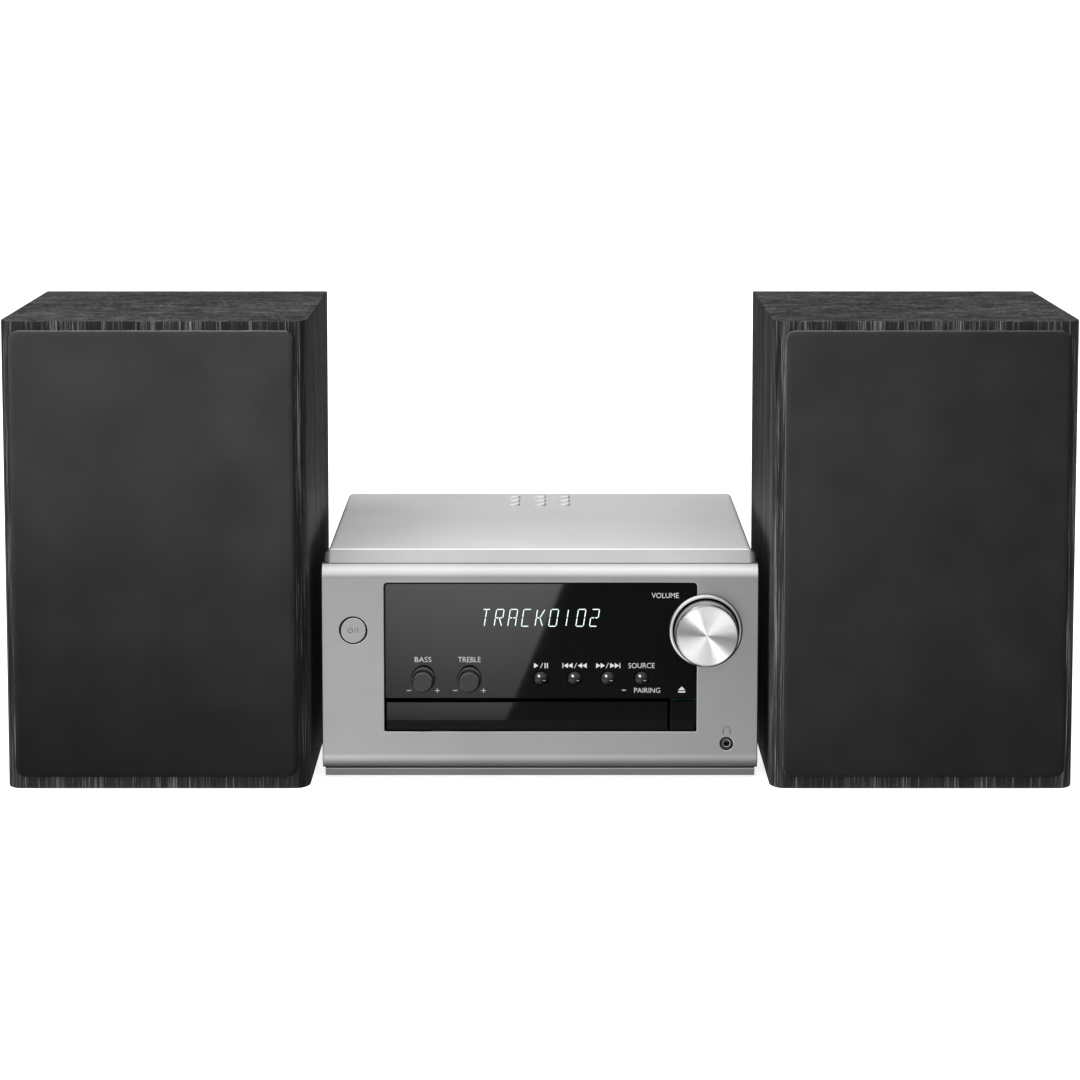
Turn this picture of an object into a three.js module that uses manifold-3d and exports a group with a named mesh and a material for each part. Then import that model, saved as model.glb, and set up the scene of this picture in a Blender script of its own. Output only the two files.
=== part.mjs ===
// A mini hifi system: a compact CD receiver between two bookshelf speakers.
// Millimetres, +Z up, the listener stands towards -Y. Inside the group, Y = 0 is the receiver's front face.
import * as THREE from "three";
import { mergeVertices } from "three/addons/utils/BufferGeometryUtils.js";
import Module from "manifold-3d";

const wasm = await Module();
wasm.setup();

// ---------------------------------------------------------------- driving dimensions
const GAP = 0.3; // between pieces that touch
const ROUND = 24; // segments of a large round
const SMALL_ROUND = 12; // segments of a small round

// Receiver
const UNIT_HALF = 105; // half the width of the front panel
const FACE_TOP = 105.5;
const FACE_BOTTOM = 5.9;
const FACE_DEPTH = 8.4; // how far the front panel's rim reaches back
const COVER_HALF = 102.5;
const COVER_TOP = 111.8;
const COVER_FRONT = 8.7;
const COVER_BACK = 219;
const SHEET = 1; // sheet steel thickness
const CHASSIS_Z = 2.4; // underside of the chassis
const FOOT_RADIUS = 9;
const BOARD = 1.6; // circuit board thickness
const BOARD_Y = 14; // front of the control board
const INNER_HALF = COVER_HALF - SHEET - GAP; // half the space between the cover's sides

// Front controls
const WINDOW = { left: -74.9, right: 75.5, bottom: 23.9, top: 96.4 };
const WINDOW_SPLIT = 40; // underside of the display window, over the disc drawer
const DRAWER = { left: -74, right: 61.6, bottom: 24.4, top: 38.2 };
const EJECT = { left: 62.7, right: 74.7 };
const KNOB = { x: 79.7, z: 73.3, radius: 15.2, front: -17, well: 16 };
const TONE_ROW = 49.7; // height of the tone knobs and the small buttons
const TONE_X = { bass: -56.3, treble: -34 };
const BUTTON_X = { play: 0.4, previous: 16.7, next: 32.8, selector: 49.1 };
const BUTTON_RADIUS = 3.3;
const POWER = { x: -89.8, z: 73.3, radius: 6.15, hole: 6.7 };
const JACK = { x: 90.1, z: 17.9, radius: 3.15 };

// Disc mechanism
const DISC = { x: -6.2, y: 68 }; // spindle axis
const TRAY_HALF = 65;
const TRAY = { bottom: 28, top: 35.5, front: 4.6, back: 150 };
const GEAR_MODULE = 1.5;
const PINION_TEETH = 14;
const PINION_RADIUS = (GEAR_MODULE * PINION_TEETH) / 2;
const PINION_Y = 21;
const RACK_LINE = DISC.x - 53; // pitch line of the rack

// Speakers
const SPEAKER_HALF = 72.5;
const SPEAKER_HEIGHT = 224;
const SPEAKER_FRONT = -20;
const SPEAKER_BACK = 168;
const SPEAKER_X = 182.7; // centre of each speaker
const BAFFLE = 12;
const WALL = 9.5;
const GRILLE = { half: 67, bottom: 6.9, top: 219.8, front: -29 };
const WOOFER_Z = 82;
const TWEETER_Z = 180;
const PORT = { z: 176, inner: 18.5, outer: 21 };
const TERMINAL_Z = 60;

const REAR_MOST = 228; // tip of the aerial socket
const MIDDLE = (GRILLE.front + REAR_MOST) / 2;

// ---------------------------------------------------------------- solids
// A closed three.js geometry as a manifold-3d solid that faces outwards.
function solid(geometry) {
  const bare = geometry.index ? geometry.toNonIndexed() : geometry.clone();
  bare.deleteAttribute("normal");
  bare.deleteAttribute("uv");
  const merged = mergeVertices(bare, 1e-4);
  const corners = [];
  for (let i = 0; i < merged.index.count; i += 3) {
    const [a, b, c] = [0, 1, 2].map((k) => merged.index.getX(i + k));
    if (a !== b && b !== c && a !== c) corners.push(a, b, c);
  }
  const made = solidFrom(merged.attributes.position.array, corners);
  if (made.volume() > 0) return made;
  return solidFrom(merged.attributes.position.array, corners.reverse());
}

function solidFrom(vertProperties, corners) {
  const triVerts = new Uint32Array(corners);
  return new wasm.Manifold(new wasm.Mesh({ numProp: 3, vertProperties, triVerts }));
}

function block(x0, x1, y0, y1, z0, z1) {
  const geometry = new THREE.BoxGeometry(x1 - x0, y1 - y0, z1 - z0);
  geometry.translate((x0 + x1) / 2, (y0 + y1) / 2, (z0 + z1) / 2);
  return solid(geometry);
}

// A profile of [radius, y] points turned about an axis along Y through (x, z).
function turned(points, x, z, segments = ROUND) {
  const profile = points.map(([radius, y]) => new THREE.Vector2(radius, y));
  return solid(new THREE.LatheGeometry(profile, segments).translate(x, 0, z));
}

function rodY(radius, y0, y1, x, z, segments = SMALL_ROUND) {
  return turned([[0, y0], [radius, y0], [radius, y1], [0, y1]], x, z, segments);
}

function postZ(radius, z0, z1, x, y, segments = SMALL_ROUND) {
  const geometry = new THREE.CylinderGeometry(radius, radius, z1 - z0, segments);
  return solid(geometry.rotateX(Math.PI / 2).translate(x, y, (z0 + z1) / 2));
}

function outline(points) {
  return new THREE.Shape(points.map(([a, b]) => new THREE.Vector2(a, b)));
}

// A rectangle with rounded corners; radii run from the lower left corner, anticlockwise.
function roundedOutline(x0, x1, y0, y1, [r0, r1, r2, r3]) {
  const shape = new THREE.Shape();
  shape.moveTo(x0 + r0, y0);
  shape.lineTo(x1 - r1, y0);
  if (r1) shape.absarc(x1 - r1, y0 + r1, r1, -Math.PI / 2, 0);
  shape.lineTo(x1, y1 - r2);
  if (r2) shape.absarc(x1 - r2, y1 - r2, r2, 0, Math.PI / 2);
  shape.lineTo(x0 + r3, y1);
  if (r3) shape.absarc(x0 + r3, y1 - r3, r3, Math.PI / 2, Math.PI);
  shape.lineTo(x0, y0 + r0);
  if (r0) shape.absarc(x0 + r0, y0 + r0, r0, Math.PI, 1.5 * Math.PI);
  return shape;
}

function extruded(shape, depth, curveSegments) {
  return new THREE.ExtrudeGeometry(shape, { depth, bevelEnabled: false, curveSegments });
}

// An (x, z) outline between two depths.
function frontPlate(shape, y0, y1, curveSegments = 5) {
  return solid(extruded(shape, y1 - y0, curveSegments).rotateX(Math.PI / 2).translate(0, y1, 0));
}

// An (x, y) outline between two heights.
function floorPlate(shape, z0, z1, curveSegments = 6) {
  return solid(extruded(shape, z1 - z0, curveSegments).translate(0, 0, z0));
}

// A (y, z) section carried along X.
function bar(points, x0, x1) {
  const turn = new THREE.Matrix4().set(0, 0, 1, 0, 1, 0, 0, 0, 0, 1, 0, 0, 0, 0, 0, 1);
  return solid(extruded(outline(points), x1 - x0, 1).applyMatrix4(turn).translate(x0, 0, 0));
}

function joined(...solids) {
  return solids.reduce((whole, piece) => whole.add(piece));
}

function cut(whole, ...tools) {
  return tools.reduce((rest, tool) => rest.subtract(tool), whole);
}

// ---------------------------------------------------------------- materials
function finish(color, roughness, metalness) {
  return new THREE.MeshStandardMaterial({ color, roughness, metalness });
}

const silver = finish(0xb4b5b6, 0.35, 0.8);
const lightSteel = finish(0xcfd0d1, 0.45, 0.4);
const bareSteel = finish(0x9a9c9e, 0.4, 0.9);
const blackGloss = finish(0x0b0b0c, 0.08, 0);
const blackPlastic = finish(0x1a1a1b, 0.5, 0);
const spunAluminium = finish(0xd8d8d8, 0.25, 1);
const boardGreen = finish(0x1f4d33, 0.6, 0);
const blackWood = finish(0x151514, 0.6, 0);
const cloth = finish(0x232323, 0.95, 0);
const paper = finish(0x24221f, 0.85, 0);
const ferrite = finish(0x3a3a3c, 0.7, 0.2);
const rubber = finish(0x111111, 0.9, 0);

function node(name, body, material) {
  const mesh = body.getMesh();
  const geometry = new THREE.BufferGeometry();
  geometry.setAttribute("position", new THREE.BufferAttribute(mesh.vertProperties, 3));
  geometry.setIndex(new THREE.BufferAttribute(mesh.triVerts, 1));
  geometry.computeVertexNormals();
  const made = new THREE.Mesh(geometry, material);
  made.name = name;
  return made;
}

// ---------------------------------------------------------------- receiver: casing
// The front panel: a shallow shell whose top and bottom edges roll back.
function frontPanel() {
  const rollRadius = 9.7;
  const rollHeight = 7;
  const upper = [];
  const lower = [];
  for (let i = 0; i <= 5; i += 1) {
    const rise = (rollHeight * (5 - i)) / 5;
    const inset = rollRadius - Math.sqrt(rollRadius ** 2 - rise ** 2);
    upper.push([inset, FACE_TOP - rollHeight + rise]);
    lower.unshift([inset, FACE_BOTTOM + rollHeight - rise]);
  }
  const section = [[FACE_DEPTH, FACE_TOP], ...upper, ...lower, [FACE_DEPTH, FACE_BOTTOM]];
  const wall = 2.5;
  return cut(
    bar(section, -UNIT_HALF, UNIT_HALF),
    block(wall - UNIT_HALF, UNIT_HALF - wall, wall, FACE_DEPTH + 1, FACE_BOTTOM + wall, FACE_TOP - wall),
    block(WINDOW.left, WINDOW.right, -1, wall + 1, WINDOW.bottom, WINDOW.top),
    rodY(KNOB.well + 0.6, -1, wall + 1, KNOB.x, KNOB.z, ROUND),
    rodY(POWER.hole, -1, wall + 1, POWER.x, POWER.z, ROUND),
    rodY(JACK.radius, -1, wall + 1, JACK.x, JACK.z),
  );
}

// The moulded frame behind the front panel, with a sloped shoulder above and a skirt below it.
function frontFrame() {
  const half = 103.8;
  const back = 20;
  const lipTop = COVER_TOP - SHEET - GAP - 0.1;
  const shoulder = [[3.3, 105.8], [FACE_DEPTH, 111.1], [FACE_DEPTH, 105.8]];
  const skirtTop = FACE_BOTTOM - GAP;
  const skirt = [[1.5, skirtTop], [2.6, 1.6], [FACE_DEPTH, 1.6], [FACE_DEPTH, skirtTop]];
  const rearBottom = CHASSIS_Z + SHEET + GAP;
  const opening = 98.3;
  const ring = cut(
    block(-INNER_HALF, INNER_HALF, FACE_DEPTH + GAP, back, rearBottom, lipTop),
    block(-opening, opening, FACE_DEPTH, back + 1, 8.5, FACE_TOP),
  );
  return joined(
    bar(shoulder, -half, half),
    bar(skirt, -half, half),
    block(-INNER_HALF, INNER_HALF, FACE_DEPTH - 1, 10, 106, lipTop),
    block(-INNER_HALF, INNER_HALF, FACE_DEPTH - 1, 10, rearBottom, skirtTop),
    ring,
  );
}

// The folded steel cover, with three columns of louvres near its rear edge.
function topCover() {
  const outer = roundedOutline(-COVER_HALF, COVER_HALF, 4, COVER_TOP, [0, 0, 3, 3]);
  const inset = COVER_HALF - SHEET;
  const inner = roundedOutline(-inset, inset, 0, COVER_TOP - SHEET, [0, 0, 0.5, 0.5]);
  let cover = cut(
    frontPlate(outer, COVER_FRONT, COVER_BACK),
    frontPlate(inner, COVER_FRONT - 1, COVER_BACK + 1),
  );
  for (const x of [-13.6, 0, 12.6]) {
    for (let row = 0; row < 3; row += 1) {
      const y = 170 + row * 16;
      cover = cut(cover, block(x - 3.1, x + 3.1, y, y + 10, COVER_TOP - 2, COVER_TOP + 1));
    }
  }
  return cover;
}

// The pressed chassis tray with the raised bosses that its boards and mechanism stand on.
function baseChassis() {
  const back = 216.8;
  const half = INNER_HALF;
  const tray = cut(
    block(-half, half, COVER_FRONT, back, CHASSIS_Z, 14),
    block(SHEET - half, half - SHEET, COVER_FRONT - 1, back + 1, CHASSIS_Z + SHEET, 15),
    block(-half - 1, half + 1, COVER_FRONT - 1, 20.3, CHASSIS_Z + SHEET, 15),
  );
  const bosses = [];
  for (const y of [165, 207]) {
    for (const x of [-92, 18, 34, 92]) bosses.push(postZ(3, CHASSIS_Z + 0.5, 11.7, x, y, 8));
  }
  for (const y of [48, 148]) {
    for (const x of [-72, 59]) bosses.push(postZ(3, CHASSIS_Z + 0.5, 13.7, x, y, 8));
  }
  return joined(tray, ...bosses);
}

function rearPanel() {
  return cut(
    block(-INNER_HALF, INNER_HALF, 217.2, 218.4, CHASSIS_Z + SHEET + GAP, COVER_TOP - SHEET - GAP),
    block(-88, -62, 216, 220, 21, 39),
    rodY(6, 216, 220, -40, 84),
    block(-15, 15, 216, 220, 76, 92),
    block(35, 85, 216, 220, 24, 56),
  );
}

function foot() {
  const profile = [[0, 0], [FOOT_RADIUS - 0.8, 0], [FOOT_RADIUS, 0.8], [FOOT_RADIUS, 2.1], [0, 2.1]];
  const points = profile.map(([radius, height]) => new THREE.Vector2(radius, height));
  return solid(new THREE.LatheGeometry(points, SMALL_ROUND + 4).rotateX(Math.PI / 2));
}

// ---------------------------------------------------------------- receiver: front controls
function displayWindow() {
  const glass = roundedOutline(-74.6, 75.2, WINDOW_SPLIT, 96.1, [0, 0, 1.5, 1.5]);
  const holes = Object.values(BUTTON_X).map((x) => rodY(BUTTON_RADIUS + 0.35, 0, 4, x, TONE_ROW));
  return cut(
    frontPlate(glass, 0.4, 2.9),
    rodY(KNOB.well + 0.6, 0, 4, KNOB.x, KNOB.z, ROUND),
    rodY(3.4, 0, 4, TONE_X.bass, TONE_ROW),
    rodY(3.4, 0, 4, TONE_X.treble, TONE_ROW),
    ...holes,
  );
}

function displayModule() {
  return joined(block(-42, 42, 3.6, 7.5, 68, 92), block(-45, 45, 7.4, 9, 65, 95));
}

// The fixed ring and well that the volume knob turns in.
function knobBezel() {
  const { x, z, well } = KNOB;
  const profile = [[well, -2], [17.1, -2], [17.7, -1.2], [17.7, -GAP], [well + 0.3, -GAP]];
  profile.push([well + 0.3, 4.9], [4, 4.9], [4, 3.4], [well, 3.4], [well, -2]);
  return turned(profile, x, z);
}

function volumeKnob() {
  const { x, z, radius, front } = KNOB;
  const face = [[0, front], [radius - 0.7, front], [radius, front + 0.9]];
  return turned([...face, [radius, 3], [3, 3], [3, 6.7], [0, 6.7]], x, z);
}

function toneKnob(x) {
  const profile = [[0, -11], [4.5, -11], [5, -10.4], [5.1, -1.8], [5.9, -1.6], [5.9, 0]];
  return turned([...profile, [3, 0], [3, 7.4], [0, 7.4]], x, TONE_ROW, 32);
}

function smallButton(x) {
  const dome = [[0, -1.1], [1.7, -0.8], [2.8, -0.1], [BUTTON_RADIUS, 0.9]];
  return turned([...dome, [BUTTON_RADIUS, 8], [0, 8]], x, TONE_ROW, SMALL_ROUND + 4);
}

function powerButton() {
  const { x, z, radius } = POWER;
  const profile = [[0, -0.3], [radius - 0.4, -0.3], [radius, 0.1], [radius, 8], [0, 8]];
  return turned(profile, x, z);
}

function ejectButton() {
  return joined(
    block(EJECT.left, EJECT.right, 0.4, 4, DRAWER.bottom, DRAWER.top),
    block(EJECT.left + 3, EJECT.right - 3, 3.9, 8, 28, 34),
  );
}

function switchBehind(x, z) {
  return block(x - 3, x + 3, 9.3, BOARD_Y + 0.1, z - 3, z + 3);
}

// The board behind the window: key switches and the two tone controls are soldered to it.
function controlBoard() {
  const back = BOARD_Y + BOARD;
  const sockets = [TONE_X.bass, TONE_X.treble].map((x) =>
    joined(
      block(x - 5, x + 5, 9, BOARD_Y + 0.1, TONE_ROW - 5, TONE_ROW + 5),
      rodY(3.4, 7.8, 9.1, x, TONE_ROW),
    ),
  );
  const keys = Object.values(BUTTON_X).map((x) => switchBehind(x, TONE_ROW));
  return joined(
    block(-98, 98, BOARD_Y, back, 41, 100),
    block(63.5, 98, BOARD_Y, back, 12, 41.5),
    switchBehind(POWER.x, POWER.z),
    switchBehind((EJECT.left + EJECT.right) / 2, 31),
    ...keys,
    ...sockets,
  );
}

function volumeEncoder() {
  const { x, z } = KNOB;
  const body = joined(block(x - 7, x + 7, 7.4, BOARD_Y - GAP, z - 7, z + 7), rodY(5, 5.3, 7.5, x, z));
  return cut(body, rodY(3.4, 5, 7.1, x, z));
}

function headphoneJack() {
  const { x, z } = JACK;
  const body = joined(block(x - 4, x + 4, 2.9, BOARD_Y - GAP, z - 4, z + 4), rodY(2.8, 0.5, 3, x, z));
  return cut(body, rodY(1.8, 0, 12, x, z));
}

// ---------------------------------------------------------------- receiver: disc mechanism
function trayFront() {
  const { left, right, bottom, top } = DRAWER;
  const section = [[0.4, top], [0.4, 29.2], [1.2, bottom], [4.3, bottom], [4.3, top]];
  return bar(section, left, right);
}

// The drawer: a disc recess, a slot for the spindle and pickup, and a rack under its left side.
function discTray() {
  const { x, y } = DISC;
  const { bottom, top, front, back } = TRAY;
  const slotHalf = 20;
  const base = block(x - TRAY_HALF, x + TRAY_HALF, front, back, bottom, top);
  const root = RACK_LINE - 1.2 * GEAR_MODULE;
  const tip = RACK_LINE + 0.9 * GEAR_MODULE;
  const teeth = [[root - 3, 8], [root - 3, back], [root, back]];
  for (let k = 26; k >= -2; k -= 1) {
    const middle = PINION_Y + k * Math.PI * GEAR_MODULE;
    teeth.push([root, middle + 1.5], [tip, middle + 0.45], [tip, middle - 0.45], [root, middle - 1.5]);
  }
  teeth.push([root, 8]);
  return joined(
    cut(
      base,
      postZ(60.8, top - 3.5, top + 1, x, y, 40),
      postZ(41, top - 4.8, top + 1, x, y, ROUND),
      postZ(slotHalf, bottom - 1, top + 1, x, y, ROUND),
      block(x - slotHalf, x + slotHalf, y, back + 1, bottom - 1, top + 1),
    ),
    floorPlate(outline(teeth), 24.8, bottom + 0.1),
  );
}

// The pinion that drives the drawer; a tooth gap faces the rack at rest.
function trayGear() {
  const centre = { x: RACK_LINE + PINION_RADIUS, y: PINION_Y };
  const root = PINION_RADIUS - 1.2 * GEAR_MODULE;
  const tip = PINION_RADIUS + 0.9 * GEAR_MODULE;
  const points = [];
  for (let k = 0; k < PINION_TEETH; k += 1) {
    const middle = Math.PI + ((k + 0.5) * 2 * Math.PI) / PINION_TEETH;
    for (const [radius, angle] of [[root, -0.17], [tip, -0.038], [tip, 0.038], [root, 0.17]]) {
      const turn = middle + angle;
      points.push([centre.x + radius * Math.cos(turn), centre.y + radius * Math.sin(turn)]);
    }
  }
  return joined(
    floorPlate(outline(points), 24.9, 27.6),
    postZ(4, 20, 25, centre.x, centre.y),
    postZ(1.5, 16.3, 20.1, centre.x, centre.y),
  );
}

// The loader's frame: floor, side walls with ledges for the drawer, spindle motor and guide rods.
function loaderFrame() {
  const { x, y } = DISC;
  const floor = block(x - 72, x + 72, 17, 156, 14, 16);
  const walls = [-1, 1].map((side) => {
    const wall = block(x + side * 71 - 1, x + side * 71 + 1, 22, 156, 15.9, 42.2);
    const inner = x + side * 65.5;
    return joined(wall, block(inner - 4.7, inner + 4.7, 22, 156, 24.5, 27.7));
  });
  const rods = [-12, 12].map((offset) =>
    joined(
      rodY(1.5, y + 16, y + 80, x + offset, 20, 8),
      block(x + offset - 3, x + offset + 3, y + 15, y + 19, 15.9, 22),
      block(x + offset - 3, x + offset + 3, y + 77, y + 81, 15.9, 22),
    ),
  );
  const motor = postZ(11, 15.9, 25, x, y, 28);
  return joined(floor, ...walls, ...rods, motor);
}

function loaderMotor() {
  return joined(postZ(9, 4.2, 13.4, 20, 100, 24), block(11, 29, 95, 105, 4.5, 12));
}

function turntable() {
  const { x, y } = DISC;
  const profile = [[0, 25.3], [14.5, 25.3], [14.5, 31.2], [7.3, 31.2], [6.6, 34.4], [0, 34.4]];
  const points = profile.map(([radius, z]) => new THREE.Vector2(radius, z));
  return solid(new THREE.LatheGeometry(points, 32).rotateX(Math.PI / 2)).translate([x, y, 0]);
}

function pickupSled() {
  const { x, y } = DISC;
  return joined(
    block(x - 16, x + 16, y + 19.5, y + 42, 22, 28),
    postZ(4.5, 27.9, 31, x, y + 26),
  );
}

function discClamp() {
  const { x, y } = DISC;
  const profile = [[0, 38], [15, 38], [15, 40], [10, 40], [10, 44.8], [14, 44.8], [14, 46], [0, 46]];
  const points = profile.map(([radius, z]) => new THREE.Vector2(radius, z));
  return solid(new THREE.LatheGeometry(points, 32).rotateX(Math.PI / 2)).translate([x, y, 0]);
}

function clampBridge() {
  const { x, y } = DISC;
  return cut(block(x - 72, x + 72, y - 17, y + 17, 42.5, 44.5), postZ(11, 42, 45, x, y, 32));
}

// ---------------------------------------------------------------- receiver: electronics and sockets
function mainBoard() {
  const top = 12 + BOARD;
  const parts = [];
  for (const x of [-60, -46, -32]) parts.push(postZ(5, top - 0.1, top + 16, x, 190, 16));
  parts.push(block(-88, -72, 166, 182, top - 0.1, top + 2.5));
  return joined(block(-98, 24, 160, 212, 12, top), ...parts);
}

function heatsink() {
  const fins = [-18, -12, -6, 0, 6, 12, 18].map((x) => block(x - 0.8, x + 0.8, 166, 196.1, 14, 78));
  return joined(block(-20, 20, 196, 199, 14, 78), ...fins);
}

function powerSupply() {
  const top = 12 + BOARD;
  return joined(
    block(28, 98, 160, 212, 12, top),
    block(62, 92, 166, 192, top - 0.1, top + 30),
    block(66, 88, 164, 194, top + 4, top + 26),
    postZ(9, top - 0.1, top + 34, 40, 172, 24),
    postZ(9, top - 0.1, top + 34, 40, 193, 24),
  );
}

// The mains inlet: a figure-eight recess with two pins.
function mainsInlet() {
  const [x, z] = [-75, 30];
  const recess = roundedOutline(x - 8, x + 8, z - 4.4, z + 4.4, [4.3, 4.3, 4.3, 4.3]);
  return joined(
    cut(
      joined(
        block(x - 12.5, x + 12.5, 201, 219, z - 8.5, z + 8.5),
        block(x - 15, x + 15, 218.7, 220.4, z - 10.5, z + 10.5),
      ),
      frontPlate(recess, 206, 221),
    ),
    rodY(1.2, 205.5, 216, x - 4.3, z, 12),
    rodY(1.2, 205.5, 216, x + 4.3, z, 12),
  );
}

function antennaSocket() {
  const [x, z] = [-40, 84];
  return cut(
    joined(
      block(x - 9, x + 9, 218.7, 220.2, z - 9, z + 9),
      rodY(5.6, 205, 219, x, z),
      rodY(4.8, 219, REAR_MOST, x, z, 24),
    ),
    rodY(3.9, 219, REAR_MOST + 1, x, z, 24).subtract(rodY(2, 218, 226, x, z, 12)),
  );
}

function auxSockets() {
  const z = 84;
  const plate = joined(block(-18, 18, 218.7, 220.2, z - 9, z + 9), block(-14, 14, 204, 219, z - 7, z + 7));
  const barrels = [-8, 8].map((x) =>
    cut(rodY(4.2, 219, 227, x, z, 24), rodY(1.8, 221, 228, x, z, 12)),
  );
  return joined(plate, ...barrels);
}

function speakerTerminals() {
  const [x, z] = [60, 40];
  const plate = joined(
    block(x - 27, x + 27, 218.7, 220.4, z - 18, z + 18),
    block(x - 24, x + 24, 213, 219, z - 15, z + 15),
  );
  const levers = [];
  const holes = [];
  for (const dx of [-18, -6, 6, 18]) {
    levers.push(block(x + dx - 4, x + dx + 4, 220.3, 225, z + 1, z + 11));
    holes.push(rodY(1.7, 215, 222, x + dx, z - 8, 12));
  }
  return cut(joined(plate, ...levers), ...holes);
}

// ---------------------------------------------------------------- speaker
// The cabinet: vertical front edges rounded in plan, hollow, with its drivers' holes cut.
function cabinet() {
  const [edgeX, edgeY] = [6.5, 12];
  const plan = new THREE.Shape();
  plan.moveTo(-SPEAKER_HALF, SPEAKER_BACK);
  plan.lineTo(-SPEAKER_HALF, SPEAKER_FRONT + edgeY);
  plan.absellipse(edgeX - SPEAKER_HALF, SPEAKER_FRONT + edgeY, edgeX, edgeY, Math.PI, 1.5 * Math.PI);
  plan.lineTo(SPEAKER_HALF - edgeX, SPEAKER_FRONT);
  plan.absellipse(SPEAKER_HALF - edgeX, SPEAKER_FRONT + edgeY, edgeX, edgeY, 1.5 * Math.PI, 2 * Math.PI);
  plan.lineTo(SPEAKER_HALF, SPEAKER_BACK);
  const inner = SPEAKER_HALF - WALL;
  const front = SPEAKER_FRONT;
  const inside = front + BAFFLE;
  const pegs = pegPlaces().map(([x, z]) => rodY(3.6, front - 1, front + 9, x, z, 10));
  return cut(
    floorPlate(plan, 0, SPEAKER_HEIGHT),
    block(-inner, inner, inside, SPEAKER_BACK - WALL, WALL, SPEAKER_HEIGHT - WALL),
    rodY(62.5, front - 1, front + 4, 0, WOOFER_Z, ROUND),
    rodY(56, front - 1, inside + 1, 0, WOOFER_Z, ROUND),
    rodY(32.5, front - 1, front + 3, 0, TWEETER_Z, ROUND),
    rodY(26, front - 1, inside + 1, 0, TWEETER_Z, ROUND),
    rodY(PORT.outer + GAP, SPEAKER_BACK - WALL - 1, SPEAKER_BACK + 1, 0, PORT.z, ROUND),
    block(-25, 25, SPEAKER_BACK - WALL - 1, SPEAKER_BACK + 1, TERMINAL_Z - 25, TERMINAL_Z + 25),
    ...pegs,
  );
}

function pegPlaces() {
  return [-61, 61].flatMap((x) => [[x, 16], [x, 211]]);
}

function wooferFrame() {
  const front = SPEAKER_FRONT;
  const basket = [[52.5, front + 0.3], [62.2, front + 0.3], [62.2, front + 3.7], [55.4, front + 3.7]];
  basket.push([55.4, front + 8], [32, 20], [16, 20], [16, 18], [31, 18], [52.5, front + 5]);
  basket.push([52.5, front + 0.3]);
  const windows = [0, 1].map((turn) =>
    turn
      ? block(-14, 14, front + 11, 16, WOOFER_Z - 60, WOOFER_Z + 60)
      : block(-60, 60, front + 11, 16, WOOFER_Z - 14, WOOFER_Z + 14),
  );
  return cut(turned(basket, 0, WOOFER_Z), ...windows);
}

// The cone with its half-roll surround and dust cap.
function wooferCone() {
  const front = SPEAKER_FRONT;
  const profile = [[0, -11], [15, -3], [44, front + 1.6], [48, front - 2.2], [51.9, front + 1.6]];
  profile.push([50.9, front + 2.8], [48, front - 0.4], [45, front + 3], [15, -1], [15, 12], [14, 12]);
  profile.push([14, -2], [0, -9.4]);
  return turned(profile, 0, WOOFER_Z);
}

function wooferMagnet() {
  const profile = [[0, 20.3], [34, 20.3], [34, 25], [40, 25], [40, 42], [36, 42], [36, 47], [0, 47]];
  return turned(profile, 0, WOOFER_Z);
}

function tweeter() {
  const front = SPEAKER_FRONT;
  const profile = [[0, front + 0.6], [5, front + 1.2], [9.5, front + 4], [11, front + 4], [22, front + 0.4]];
  profile.push([32.2, front + 0.4], [32.2, front + 2.7], [24, front + 2.7], [24, -6], [20, -6], [20, 12]);
  return turned([...profile, [0, 12]], 0, TWEETER_Z);
}

function portTube() {
  const { inner, outer, z } = PORT;
  const back = SPEAKER_BACK;
  const profile = [[inner, 100], [outer, 100], [outer, back + GAP], [26, back + GAP], [26, back + 1.6]];
  return turned([...profile, [22, back + 2], [inner, back - 1], [inner, 100]], 0, z);
}

// A recessed cup with two push terminals.
function terminalCup() {
  const back = SPEAKER_BACK;
  const z = TERMINAL_Z;
  const cup = cut(
    joined(
      block(-29, 29, back + GAP, back + 2, z - 29, z + 29),
      block(-24.5, 24.5, 149, back + 1, z - 24.5, z + 24.5),
    ),
    block(-22.5, 22.5, 151, back + 3, z - 22.5, z + 22.5),
  );
  const levers = [-10, 10].map((x) =>
    cut(block(x - 5, x + 5, 150.9, 162, z - 12, z + 12), rodY(1.7, 155, 163, x, z - 7, 12)),
  );
  return joined(cup, ...levers);
}

function crossover() {
  return joined(
    block(-22, 22, 147, 148.6, TERMINAL_Z - 22, TERMINAL_Z + 22),
    rodY(9, 134, 147.1, -8, TERMINAL_Z - 8, 20),
    block(2, 18, 138, 147.1, TERMINAL_Z - 6, TERMINAL_Z + 16),
  );
}

// The grille's ring frame, with a peg near each corner.
function grilleFrame() {
  const { half, bottom, top, front } = GRILLE;
  const side = half - 1;
  const pegs = pegPlaces().map(([x, z]) => rodY(3, front + 7, SPEAKER_FRONT + 8, x, z, 10));
  return joined(
    cut(
      block(-side, side, front + 1.1, SPEAKER_FRONT - 0.4, bottom + 1, top - 1),
      block(-56, 56, front, SPEAKER_FRONT, bottom + 11, top - 11),
    ),
    ...pegs,
  );
}

// The stretched cloth: a face with its wrapped edges.
function grilleCloth() {
  const { half, bottom, top, front } = GRILLE;
  const back = SPEAKER_FRONT - 0.4;
  return cut(
    frontPlate(roundedOutline(-half, half, bottom, top, [4, 4, 4, 4]), front, back),
    frontPlate(
      roundedOutline(0.7 - half, half - 0.7, bottom + 0.7, top - 0.7, [1, 1, 1, 1]),
      front + 0.8,
      back + 1,
    ),
  );
}

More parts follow.
